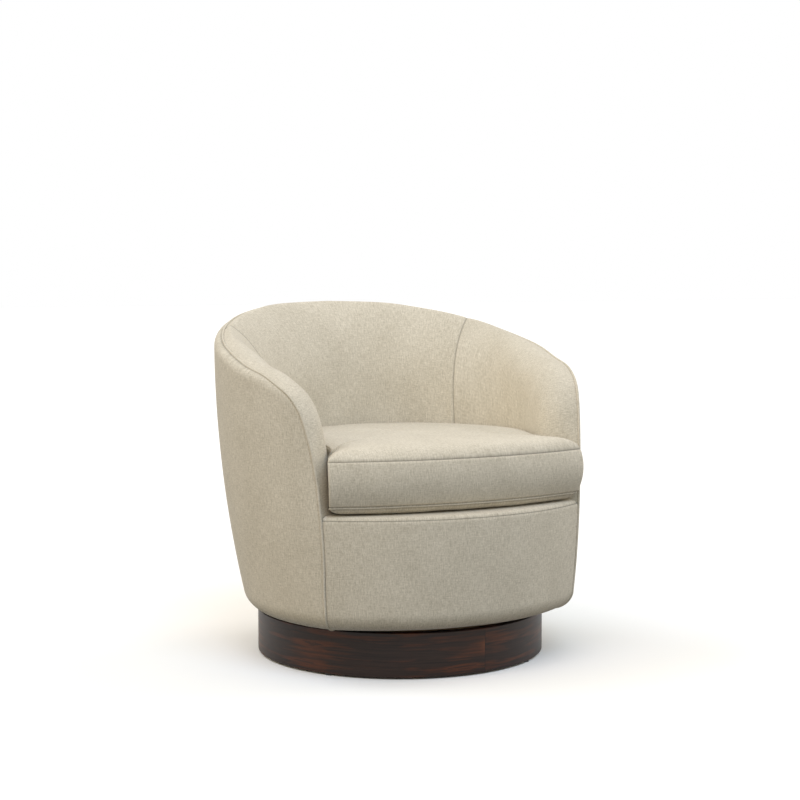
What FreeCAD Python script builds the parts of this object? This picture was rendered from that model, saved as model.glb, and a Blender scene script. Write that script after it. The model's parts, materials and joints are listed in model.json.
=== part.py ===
import FreeCAD, Part
import math
import os

# Swivel barrel chair. Millimetres, +Z up, the front faces -Y.
# The origin is where the swivel axis meets the floor.

V = FreeCAD.Vector
UP = V(0, 0, 1)

# Outer barrel: level rings that grow with height and whose centre leans back
ring_heights = (104.0, 424.0, 744.0)
ring_radii = (345.0, 385.0, 381.0)
ring_shifts = (-45.6, 38.9)
corner_angle = 51.7
inner_seam_angle = 121.0

# Heights of the seat deck, of the front end of the arms and of the back
deck_height = 335.0
arm_height = 590.0
back_height = 738.0

# Outer edge up the front of an arm: degrees behind the corner, then share of the rise to the arm height
front_rise = [(0.0, 0.263), (1.3, 0.539), (4.3, 0.8), (8.3, 0.928), (13.3, 1.0)]
# Outer edge from there on: share of the way to the middle of the back, then share of the rise to its height
back_rise = [(0.052, 0.115), (0.13, 0.203), (0.235, 0.365), (0.348, 0.514), (0.478, 0.689), (0.652, 0.865),
             (0.826, 0.973), (1.0, 1.0)]
rim_tuck = 17.0
rim_tuck_height = 22.0
rim_tuck_angles = (52.0, 85.0)
tuck_share_halfway = 0.15

# Wall thickness at seat height: degrees behind the front corner, then thickness
wall_depths = [(0.0, 62.0), (4.3, 90.0), (10.3, 102.0), (23.3, 108.0), (43.3, 115.0), (69.3, 131.0),
               (98.3, 140.0), (128.3, 146.0)]

# Padding profile from the outer edge inwards: share of the wall thickness, then height from the edge
arm_profile = [(0.48, 7.0), (0.79, -10.0), (0.95, -45.0), (1.0, -100.0)]
back_profile = [(0.23, 6.0), (0.46, -15.0), (0.77, -68.0), (0.96, -140.0)]
profile_change_angles = (85.0, 120.0)
full_profile_height = 160.0

# Shell and its upholstery
shell_bottom = 102.0
edge_round = 38.0
cover_thickness = 2.0
outside_thickness = 5.0
border_thickness = 22.0
border_drop = 9.6
border_sag_low = 84.0
border_sag_high = 96.0
border_shares = (-1.0, -0.5, 0.0, 0.5, 1.0)
border_pad_low_turn = 45.0
flap_width = 34.0
least_wall = 20.0
welt_room = 5.0
welt_width = 4.0
welt_lap = 1.0
welt_rise_outer = 3.0
welt_rise_inner = 4.0
soft_gap = 0.6
deck_gap = 2.0
deck_cover_thickness = 9.0
deck_edge_round = 8.0
deck_front_inset = 1.0
deck_pad_thickness = 13.0
insulator_thickness = 3.0
deck_ear_room = 6.0
pad_frame_gap = 2.0
pad_back_share = 0.6
seam_trim_cover = 0.1
seam_trim_pad = 0.3
dust_cover_gap = 3.0
dust_cover_opening_gap = 4.0

# Wooden frame of the shell
board_bottom = 110.0
board_thickness = 18.0
rib_thickness = 18.0
rib_outer_depth = 13.5
frame_depth = 52.0
front_post_step = 8.3
rib_angles = {"side_rib": 87.0, "quarter_rib": 118.0, "back_rib": 149.0}
seat_rail_drop = 10.0
seat_rail_height = 28.0
seat_rail_width = 22.0
seat_rail_lap = 2.0
front_rail_height = 38.0
front_rail_width = 22.0
front_rail_gap = 3.0
front_rail_share = 0.86
lower_rail_height = 30.0
top_rail_step = 6.3
top_rail_drop = 24.0
top_rail_height = 40.0
top_rail_width = 26.0
corner_block_height = 40.0
corner_block_angle = 6.0
corner_block_step = 2.0
corner_block_inset = 14.0

# Seat springs
spring_count = 6
spring_spacing = 74.0
spring_wire = 3.6
spring_leg = 34.0
spring_turn_radius = 12.0
spring_end_gap = 2.0
spring_rib_gap = 1.0
spring_pad_gap = 1.0
clip_side_gap = 2.0
clip_depth = 14.0
clip_wall = 1.2
clip_gap = 0.2
clip_near_lap = 1.0
tie_wire = 2.4
tie_wire_gap = 0.5
tie_wire_overhang = 21.0
tie_wire_places = (-120.0, 60.0)

# Seat cushion
cushion_rest_gap = 0.8
cushion_belly = 15.7
boxing_height = 93.0
cushion_crown = 28.5
cushion_corner_inset = 13.0
cushion_reach_bottom = 14.7
cushion_reach_top = 28.4
cushion_sag_bottom = 45.0
cushion_sag_top = 57.0
cushion_bulge = 7.0
cushion_corner_bulge_share = 0.7
cushion_gap = 2.5
cushion_ear_depth = 46.0
cushion_cover_thickness = 2.5
cushion_middle = -20.0
# Panels over and under the boxing: share of the rise or drop, then size of the outline there
crown_steps = ((0.62, 0.88), (0.92, 0.66), (1.0, 0.35))
belly_steps = ((0.7, 0.9), (1.0, 0.72))
zipper_half_angle = 32.0
zipper_height = 9.0
zipper_reach_out = 6.0
zipper_reach_in = 12.0

# Plinth
glide_height = 4.0
glide_radius = 9.0
glide_pin_radius = 2.0
glide_pin_length = 16.0
glide_angles = (35.0, 125.0, 215.0, 305.0)
plinth_radius = 307.0
plinth_wall = 20.0
plinth_edge_round = 1.5
plinth_top = 94.0
plinth_board_thickness = 18.0
plinth_block_count = 6
plinth_block_size = (44.0, 22.0, 48.0)
wood_gap = 0.3

# Swivel: two plates with a ring of balls between them
plate_half = 115.0
plate_thickness = 2.5
plate_corner_round = 18.0
race_radius = 100.0
race_half_width = 11.0
race_lap = 1.5
ball_radius = 4.0
ball_count = 24
ball_gap = 0.3
cage_thickness = 1.6
cage_half_width = 9.0
collar_radius = 29.7
collar_wall = 3.5
collar_flange = 4.5
collar_flange_thickness = 2.0
collar_gap = 0.3
board_hole_radius = 37.0
fixing_place = 98.0
screw_radius = 2.2
screw_head_radius = 5.0
screw_head_height = 2.6
screw_length = 16.0
bolt_radius = 3.0
bolt_head_height = 3.0
bolt_length = 18.5
tee_nut_radius = 4.4
tee_nut_length = 11.0
tee_nut_flange_radius = 9.5
tee_nut_flange = 1.5
fixing_gap = 0.1
plate_hole_gap = 0.3

# Loft stations, in degrees behind the front corner: close together where the arm front rises, then even
arm_front_steps = (0.0, 1.3, 3.3, 6.3)
arm_first_even = 10.3
arm_even_count = 9
back_even_count = 9
# Stations round the seat: share of the way from the front corner to the middle of the back
seat_shares = (0.034, 0.08, 0.143, 0.22, 0.314, 0.423, 0.54, 0.688, 0.844, 1.0)

# Heights that follow from the seat deck
border_top = deck_height - border_drop
pad_bottom = deck_height - deck_cover_thickness - deck_pad_thickness - insulator_thickness
seat_rail_top = pad_bottom - seat_rail_drop
cushion_bottom = deck_height + cushion_rest_gap
cushion_bottom_seam = cushion_bottom + cushion_belly
cushion_top_seam = cushion_bottom_seam + boxing_height


def out(name, shape):
    """Check a piece and write it to its own file."""
    solids = shape.Solids
    volume = sum(solid.Volume for solid in solids)
    state = "" if shape.isValid() else "NOT VALID"
    print(name, len(solids), "solids", round(volume / 1000.0, 1), "cm3", state)
    shape = solids[0] if len(solids) == 1 else Part.makeCompound(solids)
    shape.exportStep("parts/" + name + ".step")
    return shape


def smooth_through(knots, x):
    """Monotone cubic curve through a few knots."""
    xs = [knot[0] for knot in knots]
    ys = [knot[1] for knot in knots]
    x = min(max(x, xs[0]), xs[-1])
    steps = [(ys[i + 1] - ys[i]) / (xs[i + 1] - xs[i]) for i in range(len(xs) - 1)]
    slopes = [steps[0]]
    for before, after in zip(steps, steps[1:]):
        slopes.append(0.0 if before * after <= 0 else 2.0 * before * after / (before + after))
    slopes.append(steps[-1])
    i = max(j for j in range(len(steps)) if xs[j] <= x)
    width = xs[i + 1] - xs[i]
    t = (x - xs[i]) / width
    start = (1 + 2 * t) * (1 - t) ** 2 * ys[i] + t * (1 - t) ** 2 * width * slopes[i]
    end = t * t * (3 - 2 * t) * ys[i + 1] - t * t * (1 - t) * width * slopes[i + 1]
    return start + end


def ease(value, low, high):
    """0 below low, 1 above high, smooth between."""
    t = min(max((value - low) / (high - low), 0.0), 1.0)
    return t * t * (3 - 2 * t)


def front_angle(angle):
    """Angle from the front, the same for the left and the right side."""
    return 180.0 - abs(180.0 - angle % 360.0)


def ring_radius(z):
    low, middle, high = ring_radii
    t = (z - ring_heights[1]) / (ring_heights[2] - ring_heights[1])
    return middle + t * (high - low) / 2 + t * t * (low - 2 * middle + high) / 2


def ring_shift(z):
    t = (z - ring_heights[0]) / (ring_heights[2] - ring_heights[0])
    return ring_shifts[0] + t * (ring_shifts[1] - ring_shifts[0])


def on_ring(angle, depth, z):
    """Point at an angle from the front, a depth inside the outer surface, at a height."""
    radius = ring_radius(z) - depth
    a = math.radians(angle)
    return V(radius * math.sin(a), ring_shift(z) - radius * math.cos(a), z)


def border_sag(z):
    t = (z - shell_bottom) / (border_top - shell_bottom)
    return border_sag_low + t * (border_sag_high - border_sag_low)


def on_front(share, depth, z):
    """Point on the front panel, share -1 at the left corner and 1 at the right one."""
    corner = on_ring(corner_angle, depth, z)
    outer = on_ring(corner_angle, 0.0, z)
    middle_y = outer.y - border_sag(z) + depth
    rise = corner.y - middle_y
    radius = (corner.x ** 2 + rise ** 2) / (2 * rise)
    half = math.asin(corner.x / radius)
    return V(radius * math.sin(share * half), middle_y + radius - radius * math.cos(share * half), z)


def rim_knots():
    """Angle from the front and height of each knot of the outer edge."""
    rise = arm_height - border_top
    knots = [(corner_angle + step, border_top + share * rise) for step, share in front_rise]
    start = knots[-1][0]
    for way, share in back_rise:
        knots.append((start + way * (180.0 - start), arm_height + share * (back_height - arm_height)))
    return knots


def rim_height(angle):
    return smooth_through(rim_knots(), front_angle(angle))


def wall_depth(angle):
    return smooth_through(wall_depths, front_angle(angle) - corner_angle)


def rim_depth(angle):
    return rim_tuck * ease(front_angle(angle), *rim_tuck_angles)


def line(a, b):
    return Part.makeLine(a, b)


def arc(a, b, c):
    return Part.Arc(a, b, c).toShape()


def loft(wires, ruled=False):
    return Part.makeLoft(wires, True, ruled, False, 3)


def mirrored(shape):
    return shape.mirror(V(0, 0, 0), V(1, 0, 0))


def tube(inner, outer, low, high):
    """Upright ring round the swivel axis."""
    ring = Part.makeCylinder(outer, high - low, V(0, 0, low))
    if inner > 0:
        ring = ring.cut(Part.makeCylinder(inner, high - low, V(0, 0, low)))
    return ring


def even_steps(start, end, count):
    return [start + (end - start) * i / count for i in range(count + 1)]


def arm_stations():
    """Angles from the front corner to the inner seam."""
    front = [corner_angle + step for step in arm_front_steps]
    return front + even_steps(corner_angle + arm_first_even, inner_seam_angle, arm_even_count)


def back_stations():
    """Angles from one inner seam round the back to the other."""
    half = even_steps(inner_seam_angle, 180.0, back_even_count)
    return half + [360.0 - a for a in reversed(half[:-1])]


def barrel_stations(start=corner_angle):
    """Angles from one front corner round the back to the other."""
    half = [a for a in arm_stations() + back_stations()[1:back_even_count + 1] if a > start]
    half.insert(0, start)
    return half + [360.0 - a for a in reversed(half[:-1])]


# Padding profiles in a plane through the leaning axis


def inner_path(angle):
    """Depth and height of the padded face, from the outer edge over the top and down to the deck."""
    wall = wall_depth(angle)
    edge = rim_height(angle)
    tuck = rim_depth(angle)
    back = ease(front_angle(angle), *profile_change_angles)
    drop = min(1.0, (edge - pad_bottom) / full_profile_height)
    path = [(tuck, edge)]
    for on_arm, on_back in zip(arm_profile, back_profile):
        share = on_arm[0] + back * (on_back[0] - on_arm[0])
        height = on_arm[1] + back * (on_back[1] - on_arm[1])
        path.append((share * wall, edge + height * drop))
    path.append((wall, pad_bottom))
    return path


def offset_path(path, distance):
    """The path moved into the padding by a distance."""
    moved = []
    for i, (depth, z) in enumerate(path):
        before = path[max(i - 1, 0)]
        after = path[min(i + 1, len(path) - 1)]
        across = after[0] - before[0]
        up = after[1] - before[1]
        run = math.hypot(across, up)
        moved.append((depth + distance * up / run, z - distance * across / run))
    moved[-1] = (moved[-1][0], path[-1][1])
    return moved


def face_edges(place, path):
    """Three arcs along a padded face of six points."""
    p = [place(depth, z) for depth, z in path]
    (last_depth, last_z), (end_depth, end_z) = path[4:]
    middle = place((last_depth + end_depth) / 2.0, (last_z + end_z) / 2.0)
    return [arc(p[0], p[1], p[2]), arc(p[2], p[3], p[4]), arc(p[4], middle, p[5])]


def back_to_front(edges):
    return list(reversed(edges))


def face_path(angle):
    """The padded face, from beside the welt."""
    path = inner_path(angle)
    path[0] = (path[0][0] + welt_room, path[0][1] + welt_lap)
    return path


def cover_section(angle):
    def place(depth, z):
        return on_ring(angle, depth, z)
    outer = face_path(angle)
    inner = offset_path(outer, cover_thickness)
    far = face_edges(place, outer)
    near = face_edges(place, inner)
    bottom = line(place(*outer[-1]), place(*inner[-1]))
    top = line(place(*inner[0]), place(*outer[0]))
    return Part.Wire(far + [bottom] + back_to_front(near) + [top])


def pad_section(angle):
    def place(depth, z):
        return on_ring(angle, depth, z)
    face = offset_path(face_path(angle), cover_thickness + 2 * soft_gap)
    back_depth = min(frame_depth + pad_frame_gap, pad_back_share * wall_depth(angle))
    shelf = rim_height(angle) - top_rail_drop + pad_frame_gap
    lip = (outside_thickness + pad_frame_gap, shelf)
    corners = [face[-1], (back_depth, pad_bottom), (back_depth, shelf), lip, face[0]]
    points = [place(*corner) for corner in corners]
    straight = [line(a, b) for a, b in zip(points, points[1:])]
    return Part.Wire(face_edges(place, face) + straight)


def panel_section(place, top, tuck, thickness):
    """Outer panel: round under at the bottom, up the wall, drawn in at the top."""
    def outline(inset, low, high):
        centre_z = shell_bottom + edge_round
        radius = edge_round - inset
        half = radius * math.sqrt(0.5)
        bend = max(centre_z + least_wall, high - rim_tuck_height)
        knee = (bend + high) / 2.0
        return [(edge_round + flap_width, low), (edge_round, low), (edge_round - half, centre_z - half),
                (inset, centre_z), (inset, (centre_z + bend) / 2.0), (inset, bend),
                (inset + tuck * tuck_share_halfway, knee), (inset + tuck, high)]
    outer = [place(*p) for p in outline(0.0, shell_bottom, top)]
    inner = [place(*p) for p in outline(thickness, shell_bottom + thickness, top)]
    far, near = [[line(p[0], p[1]), arc(p[1], p[2], p[3]), arc(p[3], p[4], p[5]), arc(p[5], p[6], p[7])]
                 for p in (outer, inner)]
    return Part.Wire(far + [line(outer[7], inner[7])] + back_to_front(near) + [line(inner[0], outer[0])])


# Flat outlines of the shell and of the seat


def ring_arcs(angles, depth_at, z):
    """Arcs through an odd number of stations."""
    points = [on_ring(a, depth_at(a), z) for a in angles]
    return [arc(points[i], points[i + 1], points[i + 2]) for i in range(0, len(points) - 2, 2)]


def shell_outline(depth, z, front_depth):
    """Closed outline: round the barrel, then across the front."""
    angles = (corner_angle, 90.0, 135.0, 180.0, 225.0, 270.0, 360.0 - corner_angle)
    arcs = ring_arcs(angles, lambda a: depth, z)
    start = on_ring(corner_angle, depth, z)
    middle = on_front(0.0, front_depth, z)
    return Part.Wire(arcs + [arc(mirror_point(start), middle, start)])


def mirror_point(p):
    return V(-p.x, p.y, p.z)


def seat_outline(z, corner, sag, gap, ear_depth, shrink=1.0, spread=0.0):
    """Seat shape: front arc, ears in front of the arms, then round the inner back."""
    centre = V(0, cushion_middle, z)
    a = math.radians(corner_angle)
    forward = V(-math.cos(a), -math.sin(a), 0) * gap
    tip_spread = spread * cushion_corner_bulge_share
    tip = V(corner[0] + tip_spread, corner[1] - tip_spread, z)
    outer = on_ring(corner_angle, ear_depth, z) + forward
    inner = on_ring(corner_angle, wall_depth(corner_angle) + gap, z) + forward
    stations = [corner_angle + share * (180.0 - corner_angle) for share in seat_shares]
    half = [inner] + [on_ring(s, wall_depth(s) + gap, z) for s in stations]
    right = [tip, outer] + half
    left = [mirror_point(p) for p in reversed(right[:-1])]
    loop = [centre + (p - centre) * shrink for p in right + left]
    middle = centre + (V(0, corner[1] - sag - spread, z) - centre) * shrink
    edges = [arc(loop[-1], middle, loop[0])]
    for i in range(3):
        edges.append(line(loop[i], loop[i + 1]))
    last = len(loop) - 4
    for i in range(3, last, 2):
        edges.append(arc(loop[i], loop[i + 1], loop[i + 2]))
    for i in range(last, len(loop) - 1):
        edges.append(line(loop[i], loop[i + 1]))
    return Part.Wire(edges)


def deck_outline(z, front_depth, gap):
    corner = on_ring(corner_angle, front_depth, z)
    sag = corner.y - on_front(0.0, front_depth, z).y
    return seat_outline(z, (corner.x - gap, corner.y), sag, gap, front_depth + deck_ear_room)


# Plinth


def plinth_hoop():
    hoop = tube(plinth_radius - plinth_wall, plinth_radius, glide_height, plinth_top)
    rims = [e for e in hoop.Edges if e.BoundBox.ZLength < 0.1 and e.BoundBox.XMax > plinth_radius - 1.0]
    hoop = hoop.makeFillet(plinth_edge_round, rims)
    for place in glide_places():
        hole = Part.makeCylinder(glide_pin_radius + fixing_gap, glide_pin_length + 1.0, place)
        hoop = hoop.cut(hole)
    return hoop


def glide_places():
    radius = plinth_radius - plinth_wall / 2.0
    places = []
    for angle in glide_angles:
        a = math.radians(angle)
        places.append(V(radius * math.sin(a), -radius * math.cos(a), glide_height))
    return places


def floor_glides():
    glides = []
    for place in glide_places():
        foot = Part.makeCylinder(glide_radius, glide_height, place - UP * glide_height)
        pin = Part.makeCylinder(glide_pin_radius, glide_pin_length, place)
        glides.append(foot.fuse(pin).removeSplitter())
    return Part.makeCompound(glides)


def fixing_points(z):
    return [V(x * fixing_place, y * fixing_place, z) for x in (-1, 1) for y in (-1, 1)]


def drilled(shape, points, radius, length):
    for point in points:
        shape = shape.cut(Part.makeCylinder(radius, length, point))
    return shape


def plinth_top_board():
    low = plinth_top - plinth_board_thickness
    board = tube(0, plinth_radius - plinth_wall - wood_gap, low, plinth_top)
    return drilled(board, fixing_points(plinth_top - screw_length), screw_radius + fixing_gap, screw_length)


def plinth_glue_blocks():
    width, depth, height = plinth_block_size
    reach = plinth_radius - plinth_wall - wood_gap
    high = plinth_top - plinth_board_thickness - wood_gap
    blocks = []
    for i in range(plinth_block_count):
        block = Part.makeBox(width, 2 * depth, height, V(-width / 2.0, reach - depth, high - height))
        block = block.common(tube(0, reach, high - height, high))
        block.rotate(V(0, 0, 0), UP, (i + 0.5) * 360.0 / plinth_block_count)
        blocks.append(block)
    return Part.makeCompound(blocks)


# Swivel


def swivel_levels():
    lower = plinth_top
    upper = board_bottom
    return lower, upper, (lower + upper) / 2.0


def square_plate(low):
    size = 2 * plate_half
    plate = Part.makeBox(size, size, plate_thickness, V(-plate_half, -plate_half, low))
    upright = [e for e in plate.Edges if abs(e.tangentAt(e.FirstParameter).z) > 0.9]
    plate = plate.makeFillet(plate_corner_round, upright)
    return plate.cut(tube(0, collar_radius + collar_gap, low, low + plate_thickness))


def race_groove():
    middle = swivel_levels()[2]
    return Part.makeTorus(race_radius, ball_radius + ball_gap, V(0, 0, middle))


def race_height():
    """Each race reaches past the balls' near side by the lap."""
    low, high, middle = swivel_levels()
    return middle - low - plate_thickness - ball_radius + race_lap


def swivel_lower_plate():
    low = swivel_levels()[0]
    top = low + plate_thickness
    race = tube(race_radius - race_half_width, race_radius + race_half_width, top, top + race_height())
    plate = square_plate(low).fuse(race).cut(race_groove())
    return drilled(plate, fixing_points(low), screw_radius + plate_hole_gap, plate_thickness)


def swivel_upper_plate():
    high = swivel_levels()[1]
    low = high - plate_thickness
    race = tube(race_radius - race_half_width, race_radius + race_half_width, low - race_height(), low)
    plate = square_plate(low).fuse(race).cut(race_groove())
    return drilled(plate, fixing_points(low), bolt_radius + plate_hole_gap, plate_thickness)


def swivel_centre_collar():
    low, high = swivel_levels()[:2]
    rim = high + collar_gap
    wall = tube(collar_radius - collar_wall, collar_radius, low, rim + collar_flange_thickness)
    foot_low = low + plate_thickness
    foot = tube(collar_radius, collar_radius + collar_flange, foot_low, foot_low + collar_flange_thickness)
    head = tube(collar_radius, collar_radius + collar_flange, rim, rim + collar_flange_thickness)
    return wall.fuse(foot).fuse(head).removeSplitter()


def ball_places():
    middle = swivel_levels()[2]
    turns = [2 * math.pi * i / ball_count for i in range(ball_count)]
    return [V(race_radius * math.cos(turn), race_radius * math.sin(turn), middle) for turn in turns]


def ball_cage():
    middle = swivel_levels()[2]
    low = middle - cage_thickness / 2.0
    cage = tube(race_radius - cage_half_width, race_radius + cage_half_width, low, low + cage_thickness)
    holes = [Part.makeCylinder(ball_radius + ball_gap, 2 * cage_thickness, p - UP * cage_thickness)
             for p in ball_places()]
    return cage.cut(Part.makeCompound(holes))


def bearing_balls():
    return Part.makeCompound([Part.makeSphere(ball_radius, p) for p in ball_places()])


def lower_plate_screws():
    low = swivel_levels()[0]
    screws = []
    for point in fixing_points(low + plate_thickness):
        shank_low = point - UP * (plate_thickness + screw_length)
        shank = Part.makeCylinder(screw_radius, plate_thickness + screw_length, shank_low)
        head = Part.makeCylinder(screw_head_radius, screw_head_height, point)
        screws.append(shank.fuse(head).removeSplitter())
    return Part.makeCompound(screws)


def upper_plate_bolts():
    under = swivel_levels()[1] - plate_thickness
    bolts = []
    for point in fixing_points(under):
        head = Part.makeCylinder(screw_head_radius, bolt_head_height, point - UP * bolt_head_height)
        shank = Part.makeCylinder(bolt_radius, bolt_length, point)
        bolts.append(shank.fuse(head).removeSplitter())
    return Part.makeCompound(bolts)


def tee_nuts():
    top = board_bottom + board_thickness
    nuts = []
    for point in fixing_points(top):
        barrel = Part.makeCylinder(tee_nut_radius, tee_nut_length, point - UP * tee_nut_length)
        flange = Part.makeCylinder(tee_nut_flange_radius, tee_nut_flange, point)
        bore_length = tee_nut_length + tee_nut_flange
        bore = Part.makeCylinder(bolt_radius + fixing_gap, bore_length, point - UP * tee_nut_length)
        nuts.append(barrel.fuse(flange).cut(bore))
    return Part.makeCompound(nuts)


# Wooden frame


def board_inset():
    """The board's lower edge just clears the outer cover where that rounds under."""
    inner_round = edge_round - outside_thickness
    rise = shell_bottom + edge_round - board_bottom
    return edge_round - math.sqrt(inner_round ** 2 - rise ** 2) + 2 * soft_gap


def bottom_board():
    inset = board_inset()
    face = Part.Face(shell_outline(inset, board_bottom, inset))
    board = face.extrude(UP * board_thickness)
    board = board.cut(tube(0, board_hole_radius, board_bottom, board_bottom + board_thickness))
    return drilled(board, fixing_points(board_bottom), tee_nut_radius + fixing_gap, board_thickness)


def dust_cover():
    low = shell_bottom + outside_thickness - cover_thickness / 2.0
    inset = edge_round + flap_width + dust_cover_gap
    face = Part.Face(shell_outline(inset, low, inset))
    opening = plate_half * math.sqrt(2.0) + dust_cover_opening_gap
    thickness = board_bottom - low - wood_gap
    return face.extrude(UP * thickness).cut(tube(0, opening, low, board_bottom))


def rib(angle, cutters):
    """Plywood profile that stands on the bottom board and carries the top rail."""
    low = board_bottom + board_thickness
    high = rim_height(angle) - top_rail_drop - top_rail_height / 2.0
    middle = (low + high) / 2.0
    outer = [on_ring(angle, rib_outer_depth, z) for z in (low, middle, high)]
    inner = [on_ring(angle, frame_depth, z) for z in (low, middle, high)]
    wire = Part.Wire([arc(*outer), line(outer[2], inner[2]), arc(*reversed(inner)), line(inner[0], outer[0])])
    face = Part.Face(wire)
    normal = face.normalAt(0, 0)
    face.translate(normal * (-rib_thickness / 2.0))
    shape = face.extrude(normal * rib_thickness)
    for cutter in cutters:
        shape = shape.cut(cutter)
    size = 4 * ring_radii[1]
    below = Part.makeBox(size, size, board_bottom, V(-size / 2.0, -size / 2.0, low - board_bottom))
    return max(shape.cut(below).Solids, key=lambda solid: solid.Volume)


def seat_rail_curved():
    inner = frame_depth
    outer = frame_depth - seat_rail_width
    start = corner_angle + front_post_step - seat_rail_lap
    angles = (start, 90.0, 135.0, 180.0, 225.0, 270.0, 360.0 - start)
    wires = []
    for z in (seat_rail_top - seat_rail_height, seat_rail_top):
        far = ring_arcs(angles, lambda a: outer, z)
        near = ring_arcs(angles, lambda a: inner, z)
        close = line(on_ring(angles[-1], outer, z), on_ring(angles[-1], inner, z))
        back = line(on_ring(angles[0], inner, z), on_ring(angles[0], outer, z))
        wires.append(Part.Wire(far + [close] + back_to_front(near) + [back]))
    return loft(wires, True)


def front_rail(low, height):
    """Curved rail behind the front panel, between the two front posts."""
    depth = border_thickness + front_rail_gap
    near = depth + front_rail_width
    far = [on_front(s * front_rail_share, depth, low) for s in (-1, 0, 1)]
    inner = [on_front(s * front_rail_share, near, low) for s in (1, 0, -1)]
    wire = Part.Wire([arc(*far), line(far[2], inner[0]), arc(*inner), line(inner[2], far[0])])
    return Part.Face(wire).extrude(UP * height)


def top_rail():
    wires = []
    for angle in barrel_stations(corner_angle + top_rail_step):
        high = rim_height(angle) - top_rail_drop
        low = high - top_rail_height
        near = frame_depth
        far = frame_depth - top_rail_width
        corners = [on_ring(angle, d, z) for d, z in ((far, low), (far, high), (near, high), (near, low))]
        wires.append(Part.makePolygon(corners + [corners[0]]))
    return loft(wires, True)


def corner_block(side):
    """Glue block behind a front post, on the bottom board."""
    start = corner_angle + front_post_step + corner_block_step
    middle = start + corner_block_angle / 2.0
    end = start + corner_block_angle
    low = board_bottom + board_thickness
    outer = rib_outer_depth + corner_block_inset
    wires = []
    for z in (low, low + corner_block_height):
        far = [on_ring(a, outer, z) for a in (start, middle, end)]
        near = [on_ring(a, frame_depth, z) for a in (end, middle, start)]
        wires.append(Part.Wire([arc(*far), line(far[2], near[0]), arc(*near), line(near[2], far[0])]))
    block = loft(wires, True)
    return block if side > 0 else mirrored(block)


# Seat suspension


def pad_back(x, z):
    """Back of the front pad, at a distance from the middle and a height."""
    corner = on_ring(corner_angle, border_thickness, z)
    middle = on_front(0.0, border_thickness, z).y
    rise = corner.y - middle
    curve = (corner.x ** 2 + rise ** 2) / (2 * rise)
    return middle + curve - math.sqrt(curve ** 2 - x ** 2)


def rib_front(x, half_width, z):
    """Front of the nearest rib behind a strip of the seat, at a distance from the middle."""
    fronts = [ring_shift(z) + ring_radius(z)]
    for angle in rib_angles.values():
        a = math.radians(angle)
        inner = on_ring(angle, frame_depth, z)
        if abs(abs(x) - inner.x) < half_width + rib_thickness / 2.0:
            fronts.append(inner.y - rib_thickness / 2.0 * math.sin(a))
    return min(fronts)


def spring_span(x):
    """Front and back end of a spring at a distance from the middle."""
    z = seat_rail_top
    half_leg = spring_leg / 2.0
    radius = ring_radius(z) - frame_depth + seat_rail_width / 2.0
    back = ring_shift(z) + math.sqrt(radius ** 2 - (abs(x) + half_leg) ** 2)
    rail_depth = border_thickness + front_rail_gap
    corner = on_ring(corner_angle, rail_depth, z)
    front_middle = on_front(0.0, rail_depth + front_rail_width / 2.0, z).y
    rise = corner.y - front_middle
    curve = (corner.x ** 2 + rise ** 2) / (2 * rise)
    front = front_middle + curve - math.sqrt(curve ** 2 - (abs(x) - half_leg) ** 2)
    return max(front, front_middle) + spring_end_gap, back - spring_end_gap


def spring_limits(x):
    """How far a spring may reach before its clips meet the front pad or a rib."""
    half_leg = spring_leg / 2.0
    front = pad_back(abs(x) + half_leg, seat_rail_top) + clip_depth / 2.0 + spring_pad_gap
    back = rib_front(x, half_leg, seat_rail_top) - clip_depth / 2.0 - spring_rib_gap
    return front, back


def spring_path(x):
    """Legs across the seat joined by half turns, from front to back."""
    z = seat_rail_top + clip_wall + spring_wire / 2.0 + clip_gap
    front, back = spring_span(x)
    least, most = spring_limits(x)
    pitch = 2 * spring_turn_radius
    count = int((min(back, most) - max(front, least)) / pitch)
    y = (front + back - count * pitch) / 2.0
    y = min(max(y, least), most - count * pitch)
    side = 1.0
    edges = []
    for i in range(count + 1):
        a = V(x - side * spring_leg / 2.0, y, z)
        b = V(x + side * spring_leg / 2.0, y, z)
        edges.append(line(a, b))
        if i < count:
            turn = V(b.x + side * spring_turn_radius, y + spring_turn_radius, z)
            edges.append(arc(b, turn, V(b.x, y + pitch, z)))
        y += pitch
        side = -side
    return Part.Wire(edges)


def seat_spring(x):
    path = spring_path(x)
    start = path.Edges[0]
    ring = Part.Wire(Part.makeCircle(spring_wire / 2.0, start.valueAt(start.FirstParameter), V(1, 0, 0)))
    return path.makePipeShell([ring], True, False)


def spring_clips():
    """A folded clip over the first and last leg of each spring."""
    width = spring_leg - 2 * clip_side_gap
    opening = spring_wire + 2 * clip_gap
    low = seat_rail_top
    clips = []
    for x in spring_places():
        edges = spring_path(x).Edges
        for edge, way in ((edges[0], -1.0), (edges[-1], 1.0)):
            y = (edge.Vertexes[0].Point.y + edge.Vertexes[1].Point.y) / 2.0
            near = y - way * (spring_wire / 2.0 + clip_near_lap)
            far = y + way * clip_depth / 2.0
            slot_far = y + way * (spring_wire / 2.0 + clip_gap)
            slot_near = y - way * clip_depth
            body = Part.makeBox(width, abs(far - near), opening + 2 * clip_wall,
                                V(x - width / 2.0, min(near, far), low))
            slot = Part.makeBox(2 * width, abs(slot_far - slot_near), opening,
                                V(x - width, min(slot_far, slot_near), low + clip_wall))
            clips.append(body.cut(slot))
    return Part.makeCompound(clips)


def spring_places():
    middle = (spring_count - 1) / 2.0
    return [(i - middle) * spring_spacing for i in range(spring_count)]


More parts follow.
